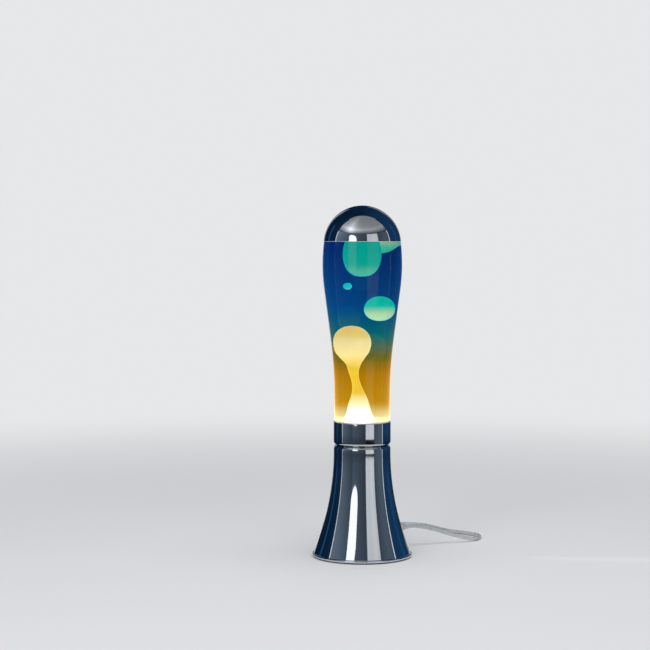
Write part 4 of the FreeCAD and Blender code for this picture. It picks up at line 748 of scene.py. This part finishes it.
def bottle_outline(sizes):
    """Half section of the bottle: spigot, heel, side, ledge, shoulder and neck, then back down inside."""
    wall, waist = sizes.wall / MM, sizes.waist / MM
    foot, top = BOTTLE_LOW.z, BOTTLE_HIGH.z
    spigot = waist - SPIGOT_INSET
    shoulder, curl, neck = SHOULDER, SHOULDER_ROUND, NECK
    return outline(
        (0, foot),
        (10, foot),
        arc((spigot - 2, foot + 2), 2, -90, 0, 8),
        (spigot, HEEL),
        arc((waist - 2, HEEL + 2), 2, -90, 0, 8),
        *bottle_side(sizes, 0, LEDGE),
        (shoulder, LEDGE),
        arc((shoulder - curl, LEDGE), curl, 0, 90, 24),
        arc((neck + 3, top - 9), 3, -90, -180, 8),
        arc((neck - 0.4, top - 0.4), 0.4, 0, 90, 4),
        arc((neck - wall + 0.4, top - 0.4), 0.4, 90, 180, 4),
        (neck - wall, LEDGE + curl - wall),
        arc((shoulder - curl, LEDGE), curl - wall, 90, 0, 20),
        *[run[::-1] for run in bottle_side(sizes, wall, LEDGE - 5)[::-1]],
        (waist - wall, HEEL + 4),
        (spigot - wall, HEEL - 1),
        arc((spigot - 2 - wall, foot + 5), 2, 0, -90, 6),
        (10, foot + 3),
        (0, foot + 3),
    )


def liquid_outline(sizes):
    """Half section of the filling, a hair into the glass all round, so that no air shows between the two."""
    inset, waist = sizes.wall / MM - 0.2, sizes.waist / MM
    foot, level = BOTTLE_LOW.z, sizes.level / MM
    spigot = waist - SPIGOT_INSET
    shoulder, curl, neck = SHOULDER, SHOULDER_ROUND, NECK
    return outline(
        (0, foot + 2.8),
        (10, foot + 2.8),
        arc((spigot - 2 - inset, foot + 4.8), 2, -90, 0, 6),
        (spigot - inset, HEEL - 1),
        (waist - inset, HEEL + 4),
        *bottle_side(sizes, inset, LEDGE - 5),
        arc((shoulder - curl, LEDGE), curl - inset, 0, 90, 20),
        (neck - inset, LEDGE + curl - inset),
        (neck - inset, level),
        (6, level),
        (0, level),
    )


class LAMP_OT_bottle(bpy.types.Operator):
    """Builds the glass bottle and the dyed liquid in it"""

    bl_idname = "lamp.bottle"
    bl_label = "Bottle and liquid"

    def execute(self, context):
        sizes = context.scene.lamp.bottle
        bottle = skin("glass_bottle", turned(bottle_outline(sizes), sizes.segments))
        finish(bottle, "bottle", "bottle_glass", "bottle_glass")
        filling = skin("dyed_liquid", turned(liquid_outline(sizes), sizes.segments))
        finish(filling, "bottle", "tinted_liquid", "liquid")
        return {"FINISHED"}


# The rising column: height over the pool's floor, lean to the side and radius, in millimetres.
COLUMN = [
    (0.0, 0.0, 0.0),
    (0.0, 0.0, 24.4),
    (2.2, 0.0, 26.0),
    (4.8, -0.4, 24.6),
    (8.6, -1.8, 18.6),
    (13.1, -2.6, 14.0),
    (20.0, -2.8, 11.2),
    (28.4, -3.1, 9.7),
    (36.8, -3.0, 7.7),
    (45.2, -3.7, 5.4),
    (53.6, -5.1, 4.0),
    (62.0, -6.6, 3.8),
    (70.4, -7.8, 4.8),
    (78.8, -7.9, 6.9),
    (87.2, -9.1, 12.0),
    (93.6, -9.4, 15.6),
    (103.0, -9.4, 17.4),
    (112.6, -9.4, 16.2),
    (119.6, -9.4, 12.2),
    (123.7, -9.4, 6.8),
    (125.2, -9.4, 0.0),
]


def column_grid(around):
    """The column as rings: a smooth line through the table gives each ring its height, lean and radius."""
    line = np.vstack([COLUMN[0], smooth_line(COLUMN[1:], 160)]) * MM
    rise, lean, radius = (line[:, i : i + 1] for i in range(3))
    angle = np.linspace(0, 2 * np.pi, around, endpoint=False)
    upright = np.broadcast_to(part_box("wax_column")[0].z + rise, (len(line), around))
    radius = np.maximum(radius, 0)
    return np.stack([lean + radius * np.cos(angle), radius * np.sin(angle), upright], -1)


def egg_grid(node, right, rise, blunt, taper, lobe, around=96, rings=64):
    """An egg in a CAD node's box, set to the right and with its foot raised by some millimetres.

    At latitude b and bearing a, its ring's radius is cos b, raised to a power below 1 for blunt ends, times
    (1 + taper sin b), drawn in by the lobe times cos b squared times (1 - cos 2a) over 2, so that it isn't
    round from above.
    """
    low, high = (np.array(corner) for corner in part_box(node))
    low, high = low + np.array((right, 0, rise)) * MM, high + np.array((right, 0, 0)) * MM
    b = np.linspace(-np.pi / 2, np.pi / 2, rings)[:, None]
    a = np.linspace(0, 2 * np.pi, around, endpoint=False)[None, :]
    across = np.maximum(np.cos(b), 0)
    across[[0, -1]] = 0
    ring = across**blunt * (1 + taper * np.sin(b)) / (1 + abs(taper) / 2)
    ring = ring * (1 - lobe * across**2 * (1 - np.cos(2 * a)) / 2)
    unit = np.stack([ring * np.cos(a), ring * np.sin(a), np.broadcast_to(np.sin(b), ring.shape)], -1)
    return (low + high) / 2 + unit * (high - low) / 2


# Free pieces of wax: body, then way to the right and rise of the foot in millimetres, bluntness, taper
# towards the top and lobe, then glow, and colours by share of height
EGGS = [
    (
        "upper_blob",
        (0.0, 1.4, 0.8, -0.07, 0.03),
        0.75,
        ((0.0, "free_edge"), (0.12, "free_mid"), (0.26, "free_high")),
    ),
    (
        "side_blob",
        (0.0, 0.0, 1.0, 0.04, 0.05),
        0.75,
        ((0.0, "free_high"), (0.25, "free_mid"), (0.55, "free_low")),
    ),
    (
        "middle_blob",
        (0.0, 3.0, 0.95, -0.05, 0.04),
        1.0,
        ((0.0, "free_mid"), (0.12, "free_low"), (0.35, "free_low"), (0.64, "free_high")),
    ),
    ("bead", (0.0, 0.8, 0.9, 0.03, 0.04), 0.9, ((0.0, "free_edge"), (1.0, "free_edge"))),
]


class LAMP_OT_wax(bpy.types.Operator):
    """Builds the rising column of wax and the free pieces"""

    bl_idname = "lamp.wax"
    bl_label = "Wax"

    def execute(self, context):
        column = skin("wax_rising_column", column_grid(128), crisp=80.0)
        finish(column, "bottle", "wax_warm", "wax_column")
        for body, shape, glow, stops in EGGS:
            node = "wax_" + body
            egg = skin(node + "_egg", egg_grid(node, *shape), crisp=80.0)
            finish(egg, body, "wax_cool", node)
            egg.data.materials[0] = free_wax(node, stops, glow)
        return {"FINISHED"}


class LAMP_OT_bulb(bpy.types.Operator):
    """Builds the reflector bulb's glass"""

    bl_idname = "lamp.bulb"
    bl_label = "Bulb"

    def execute(self, context):
        """The neck flares to the widest ring on one arc, closed by half a ball; then the inside."""
        low, high = (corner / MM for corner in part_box("bulb_envelope"))
        reach, neck, wall = high.x, 8.8, 0.8
        wide, neck_top = high.z - high.x, low.z + 3
        curve = ((reach - neck) ** 2 + (wide - neck_top) ** 2) / (2 * (reach - neck))
        slope = math.degrees(math.asin((wide - neck_top) / curve))
        slope_in = math.degrees(math.asin((wide - neck_top) / (curve - wall)))
        shape = outline(
            (0, low.z),
            (neck, low.z),
            arc((reach - curve, wide), curve, -slope, 0, 30),
            arc((0, wide), reach, 0, 90, 30),
            arc((0, wide), reach - wall, 90, 0, 24),
            arc((reach - curve, wide), curve - wall, 0, -slope_in, 24),
            (neck - wall, low.z + wall),
            (0, low.z + wall),
        )
        finish(skin("reflector_bulb", turned(shape, 128)), "bulb", "bulb_glass", "bulb_envelope")
        return {"FINISHED"}


# The lead. Its points are those of the CAD route, in millimetres.

RUN = [
    (47.3, 56.4, 20.1),
    (53.0, 63.2, 23.5),
    (63.8, 71.5, 24.6),
    (79.5, 78.5, 21.5),
    (98.0, 84.5, 16.0),
    (117.0, 90.0, 9.3),
    (139.0, 96.5, 3.4),
    (149.3, 107.4, 2.3),
    (152.9, 121.9, 2.3),
    (148.7, 136.3, 2.3),
    (136.1, 148.4, 2.3),
    (115.5, 163.0, 2.3),
    (102.8, 182.0, 2.3),
    (94.6, 197.6, 2.3),
    (85.8, 210.5, 2.3),
    (71.5, 216.8, 2.3),
    (57.55, 215.4, 3.2),
    (46.25, 207.6, 5.4),
    (39.85, 195.4, 7.0),
    (39.85, 182.0, 7.0),
]
LINK = [(39.85, 133.6, 7.0), (39.85, 123.9, 7.0), (39.85, 112.3, 2.7)]
COIL_AT = (4.0, 98.0)
COIL_RUN_IN = 4.6
COIL_LEVELS = (2.7, 8.55)
HALF_TURNS = 13
CLIMB = 6
POINTS_A_HALF_TURN = 8


def coil_points(sizes):
    """Control points of the wound lead, clockwise from above.

    Each half turn is half a circle whose radius falls by half the pitch on the way in and grows by it on the
    way out, and the half turn between them climbs to the second layer. A spline runs inside its points, at
    (6 + 2 cos step) / 8 of their radius, so they stand out by as much.
    """
    reach, pitch = sizes.coil_radius / MM, sizes.pitch / MM
    half = np.arange(HALF_TURNS + 1)
    radii = reach - pitch * np.where(half <= CLIMB, half, HALF_TURNS - half) / 2
    levels = np.where(half <= CLIMB, *COIL_LEVELS)
    step = math.pi / POINTS_A_HALF_TURN
    stand = 8 / (6 + 2 * math.cos(step))
    t = (np.arange(POINTS_A_HALF_TURN) + 0.5) / POINTS_A_HALF_TURN
    side = np.where(half[:-1, None] % 2 == 0, 1.0, -1.0)
    first, last = radii[:-1, None], radii[1:, None]
    mean, centre = (first + last) / 2, COIL_AT[0] + side * (first - last) / 2
    x = centre + side * mean * stand * np.cos(np.pi * t)
    y = COIL_AT[1] - side * mean * stand * np.sin(np.pi * t)
    z = levels[:-1, None] + (levels[1:] - levels[:-1])[:, None] * (1 - np.cos(np.pi * t)) / 2
    return np.stack([x, y, z], -1).reshape(-1, 3)


def lay_lead(name, points, radius):
    """A round lead along one open smooth spline whose control points are given in millimetres."""
    curve = bpy.data.curves.new(name, "CURVE")
    curve.dimensions = "3D"
    curve.bevel_depth = radius
    curve.bevel_resolution = 6
    curve.resolution_u = 8
    curve.use_fill_caps = True
    points = np.array(points) * MM
    spline = curve.splines.new("NURBS")
    spline.points.add(len(points) - 1)
    spline.points.foreach_set("co", np.column_stack([points, np.ones(len(points))]).ravel())
    spline.order_u = 3
    spline.use_endpoint_u = True
    return put(name, curve)


# Where the lead leaves the base's wall, and its way out
EXIT = (35.3, 42.0, 13.0)
WAY_OUT = (0.600, 0.716, 0.357)


def relief_grid(around=64):
    """The strain relief: each point (r, s) of a profile goes round the way out, at s along it and r from it.

    Its sleeve tapers from 5.2 to 3.3 mm, with seven soft grooves: less 0.5 times (1 - cos) over 2, squared.
    """
    t = np.linspace(0, 1, 113)
    ribs = 5.2 - 1.9 * t - 0.5 * ((1 - np.cos(14 * np.pi * t)) / 2) ** 2
    flange = [(0, -3.2), (6.2, -3.2), (6.2, -1.7), (4.9, -1.7), (4.9, 0.15), (7.2, 0.15), (7.2, 1.5)]
    r, s = np.vstack([flange, np.column_stack([ribs, 2.3 + 17.7 * t]), (0, 20)]).T[:, :, None]
    way = np.array(WAY_OUT)
    across = np.cross(way, (0, 0, 1))
    across /= np.linalg.norm(across)
    angle = np.linspace(0, 2 * np.pi, around, endpoint=False)[None, :, None]
    ring = np.cos(angle) * across + np.sin(angle) * np.cross(way, across)
    return (np.array(EXIT) + s[..., None] * way + r[..., None] * ring) * MM


class LAMP_OT_lead(bpy.types.Operator):
    """Lays the lead from the base to its switch, and the spare lead to its plug"""

    bl_idname = "lamp.lead"
    bl_label = "Lead"

    def execute(self, context):
        sizes = context.scene.lamp.lead
        finish(skin("ribbed_relief", relief_grid()), "base", "moulded_plastic", "cord_relief")
        run = lay_lead("lead_to_switch", RUN, sizes.diameter / 2)
        finish(run, "base", "cord_sheath", "cord_run")
        reach = sizes.coil_radius / MM
        start = (COIL_AT[0] + reach, COIL_AT[1] + COIL_RUN_IN, COIL_LEVELS[0])
        end = (COIL_AT[0] - reach, COIL_AT[1] + COIL_RUN_IN, COIL_LEVELS[1])
        points = np.vstack([LINK, start, coil_points(sizes), end])
        spare = lay_lead("spare_lead_coil", points, sizes.diameter / 2)
        finish(spare, "base", "cord_sheath", "cord_link", "cord_coil")
        return {"FINISHED"}


class LAMP_OT_fittings(bpy.types.Operator):
    """Gives every piece that keeps its CAD shape the finish of its slot"""

    bl_idname = "lamp.fittings"
    bl_label = "Fittings"

    def execute(self, context):
        for part in frame["record"]["subparts"]:
            mesh = frame["nodes"][part["node"]].data
            mesh.materials.clear()
            mesh.materials.append(FINISHES[part["material_slot"]])
        return {"FINISHED"}


# The studio.

CAMERA_AT = (-44.5, -2052.4, 377.9)
CAMERA_PITCH = 2.8
FRAME_PIXELS = 650
FOCAL_PIXELS = 1720


def soft_light(name, place, aim, size, power):
    """A rectangular soft light that faces a point, and that neither chrome nor glass shows."""
    data = bpy.data.lights.new(name, "AREA")
    data.shape = "RECTANGLE"
    data.size, data.size_y = size
    data.energy = power
    light = put(name, data)
    light.location = place
    way = np.array(place) - np.array(aim)
    tilt = math.atan2(math.hypot(way[0], way[1]), way[2])
    light.rotation_euler = (tilt, 0, math.atan2(way[1], way[0]) + math.pi / 2)
    light.visible_glossy = False
    light.visible_transmission = False


def card(name, shade, rows, across=(1.0,)):
    """A bent card round the lamp, seen in gloss alone, that gives off its colour times a light level.

    Each row is (radius, height, level, first bearing, last bearing), in metres and in degrees clockwise from
    the camera's side. The level fades from row to row, and through even shares across the bearings, less so
    near the axis.
    """
    radius, rise, level, first, last = np.array(rows, float).T
    bearing = np.radians(np.linspace(first, last, 33, axis=-1))
    r, z = radius[:, None], np.broadcast_to(rise[:, None], bearing.shape)
    grid = np.stack([-r * np.sin(bearing), -r * np.cos(bearing), z], -1)
    index = np.arange(bearing.size).reshape(bearing.shape)
    faces = np.stack([index[:-1, :-1], index[:-1, 1:], index[1:, 1:], index[1:, :-1]], -1).reshape(-1, 4)
    mesh = bpy.data.meshes.new(name)
    mesh.from_pydata(grid.reshape(-1, 3), [], faces.tolist())
    shares = np.interp(np.linspace(0, 1, 33), np.linspace(0, 1, len(across)), across)
    light = level[:, None] * (1 + (shares - 1) * r / radius.max())
    mesh.attributes.new("light", "FLOAT", "POINT").data.foreach_set("value", light.ravel())
    piece = put(name, mesh)
    for ray in ("camera", "diffuse", "transmission", "volume_scatter", "shadow"):
        setattr(piece, "visible_" + ray, False)
    material, tree = new_material(name + "_paper")
    level = add(tree, "ShaderNodeAttribute", attribute_name="light").outputs["Fac"]
    glow = add(tree, "ShaderNodeEmission", {"Color": (*shade, 1.0), "Strength": level})
    add(tree, "ShaderNodeOutputMaterial", {"Surface": glow})
    mesh.materials.append(material)
    return piece


def wall(skirt, low, high, first, last, reach=1.42):
    """Rows of a card that lies on the floor round the lamp and then stands up, with the light of each."""
    return [
        (0.2, 0.002, skirt, first, last),
        (reach - 0.02, 0.03, low, first, last),
        (reach, 1.2, high, first, last),
    ]


def cards(look):
    """The surroundings that the chrome shows: a dark room with two windows, its ceiling, and night behind."""
    night, room, window = tuple(look.night), tuple(look.room), tuple(look.window)
    behind = [*wall(0.5, 1.0, 1.0, 88, 272), (0.02, 2.7, 0.6, 88, 272)]
    # the white window's heights and bearings, from its rounded foot to its rounded top
    pane = [(0.205, 26, 30), (0.23, 21, 36), (0.28, 18, 40), (0.34, 17, 41)]
    pane += [(0.75, 18.5, 41.5), (0.95, 22, 42), (1.02, 27, 40), (1.05, 31, 36)]
    grey = [(0.94, 0.026, 0.8), (1.38, 0.04, 0.82), (1.39, 1.14, 0.7), (1.39, 1.17, 0.1)]
    return [
        card("night_card", night, behind, (0.8, 0.5, 0.6, 1.5, 1.5)),
        card("left_room_card", room, wall(0.5, 1.2, 2.2, 40, 86), (0.6, 1.0, 1.4)),
        card("middle_room_card", room, wall(0.3, 0.75, 1.0, -13, 40), (0.8, 1.1, 1.4, 1.6)),
        card("right_room_card", room, wall(1.2, 1.0, 0.8, -86, -13), (1.3, 1.5, 1.2, 0.6, 0.5, 0.6)),
        card("dark_floor_card", room, [(0.2, 0.008, 0.1, -47, -13), (0.93, 0.025, 0.1, -47, -13)]),
        card("grey_window_card", window, [(*row, -47, -13) for row in grey], (0.9, 1.05, 0.95, 1.0)),
        card("white_window_card", window, [(1.38, rise, 1.55, *ends) for rise, *ends in pane]),
        card("left_slit_card", window, wall(0.1, 1.0, 1.2, 83, 88.5)),
        card("right_slit_card", window, wall(0.8, 1.2, 1.2, -88.5, -83)),
        card("white_back_card", window, wall(0.0, 0.5, 0.3, 157, 169, 1.37)),
        card("grey_back_card", window, wall(0.0, 0.28, 0.2, 186, 205, 1.37)),
        card("left_back_card", night, wall(0.0, 2.2, 2.4, 116, 124, 1.37)),
        card("right_back_card", night, wall(0.0, 2.2, 2.4, 236, 246, 1.37)),
        card(
            "ceiling_card",
            window,
            [
                (1.42, 1.2, 0.06, -88, 88),
                (1.36, 1.28, 0.45, -88.5, 88.5),
                (1.22, 1.48, 1.0, -89.5, 89.5),
                (1.05, 1.65, 0.6, -91, 91),
                (0.7, 1.95, 0.4, -95, 95),
                (0.4, 2.18, 0.33, -103, 103),
                (0.2, 2.32, 0.3, -120, 120),
                (0.1, 2.38, 0.28, -180, 180),
                (0.0, 2.4, 0.28, -180, 180),
            ],
            (0.3, 0.3, 0.35, 0.4, 0.45, 0.75, 1.75, 0.75, 0.4),
        ),
    ]


def paper_floor(look):
    """A pale paper floor that turns into the backdrop's colour far from the lamp, so that no edge shows."""
    rings = np.array([(0.0, 0.0), (0.5, 0.0), (2.0, 0.0), (9.0, 0.0)])
    floor = skin("studio_floor", turned(rings, 96))
    material, tree = new_material("matt_pale_paper")
    paper = add(
        tree,
        "ShaderNodeBsdfPrincipled",
        {"Base Color": (*look.floor, 1.0), "Roughness": 0.8, "Normal": grain(tree, 3 * MM, 0.05, 0.1 * MM)},
    )
    sky = add(tree, "ShaderNodeEmission", {"Color": (*look.backdrop, 1.0)})
    spot = add(tree, "ShaderNodeTexCoord").outputs["Object"]
    reach = add(tree, "ShaderNodeVectorMath", {0: spot}, operation="LENGTH").outputs["Value"]
    far = spread(tree, reach, 0.0, 1.0, 0.35, 1.8, interpolation_type="SMOOTHSTEP")
    both = add(tree, "ShaderNodeMixShader", {0: far, 1: paper, 2: sky})
    add(tree, "ShaderNodeOutputMaterial", {"Surface": both})
    floor.data.materials.append(material)
    floor.location.z = -0.0001
    return floor


def pale_world(look):
    """A pale sky, at full strength where it is seen, also in gloss and through glass, and half as a light."""
    world = bpy.data.worlds.new("pale_studio")
    world.use_nodes = True
    tree = world.node_tree
    tree.nodes.clear()
    path = add(tree, "ShaderNodeLightPath").outputs
    seen = path["Is Camera Ray"]
    for ray in ("Is Glossy Ray", "Is Transmission Ray"):
        seen = add(tree, "ShaderNodeMath", {0: seen, 1: path[ray]}, operation="MAXIMUM")
    strength = spread(tree, seen, 0.5, 1.0)
    sky = add(tree, "ShaderNodeBackground", {"Color": (*look.backdrop, 1.0), "Strength": strength})
    add(tree, "ShaderNodeOutputWorld", {"Surface": sky})
    return world


class LAMP_OT_stage(bpy.types.Operator):
    """Sets up the floor, the backdrop, the soft lights and the camera"""

    bl_idname = "lamp.stage"
    bl_label = "Studio"

    def execute(self, context):
        scene = context.scene
        look = scene.lamp.stage
        paper_floor(look)
        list(cards(look))
        scene.world = pale_world(look)
        soft_light("tall_soft_light", (-0.8, -1.5, 0.85), (0, 0, 0.3), (0.62, 1.7), look.key)
        soft_light("wide_soft_light", (0.7, -1.55, 0.85), (0, 0, 0.3), (0.8, 1.7), look.fill)
        soft_light("overhead_soft_light", (0.1, -0.1, 2.1), (0, 0, 0), (1.5, 1.5), look.top)
        data = bpy.data.cameras.new("camera")
        data.sensor_width = 36
        data.lens = FOCAL_PIXELS / FRAME_PIXELS * data.sensor_width
        camera = put("camera", data)
        camera.location = tuple(c * MM for c in CAMERA_AT)
        camera.rotation_euler = (math.radians(90 - CAMERA_PITCH), 0, 0)
        scene.camera = camera
        scene.view_settings.view_transform = "Standard"
        return {"FINISHED"}


OPERATORS = [
    LAMP_OT_fittings,
    LAMP_OT_base,
    LAMP_OT_dome,
    LAMP_OT_bottle,
    LAMP_OT_wax,
    LAMP_OT_bulb,
    LAMP_OT_lead,
    LAMP_OT_stage,
]


class LAMP_PT_panel(bpy.types.Panel):
    """The lamp's pieces and settings in the sidebar"""

    bl_label = "Liquid motion lamp"
    bl_idname = "LAMP_PT_panel"
    bl_space_type = "VIEW_3D"
    bl_region_type = "UI"
    bl_category = "Lamp"

    def draw(self, context):
        for operator in OPERATORS:
            self.layout.operator(operator.bl_idname)
        lamp = context.scene.lamp
        for group in (lamp.chrome, lamp.bottle, lamp.dye, lamp.wax, lamp.lead, lamp.stage):
            box = self.layout.box()
            for name in group.__annotations__:
                box.prop(group, name)


GROUPS = [ChromeSizes, BottleSizes, DyeColours, WaxColours, LeadSizes, StageLook, LampSettings]


def register():
    for cls in [*GROUPS, *OPERATORS, LAMP_PT_panel]:
        bpy.utils.register_class(cls)
    bpy.types.Scene.lamp = PointerProperty(type=LampSettings)


def unregister():
    del bpy.types.Scene.lamp
    for cls in reversed([*GROUPS, *OPERATORS, LAMP_PT_panel]):
        bpy.utils.unregister_class(cls)


def main():
    """Registers the add-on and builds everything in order."""
    register()
    FINISHES.update(make_finishes(bpy.context.scene.lamp))
    for operator in OPERATORS:
        group, name = operator.bl_idname.split(".")
        getattr(getattr(bpy.ops, group), name)()
    bpy.context.view_layer.update()


if __name__ == "__main__":
    main()
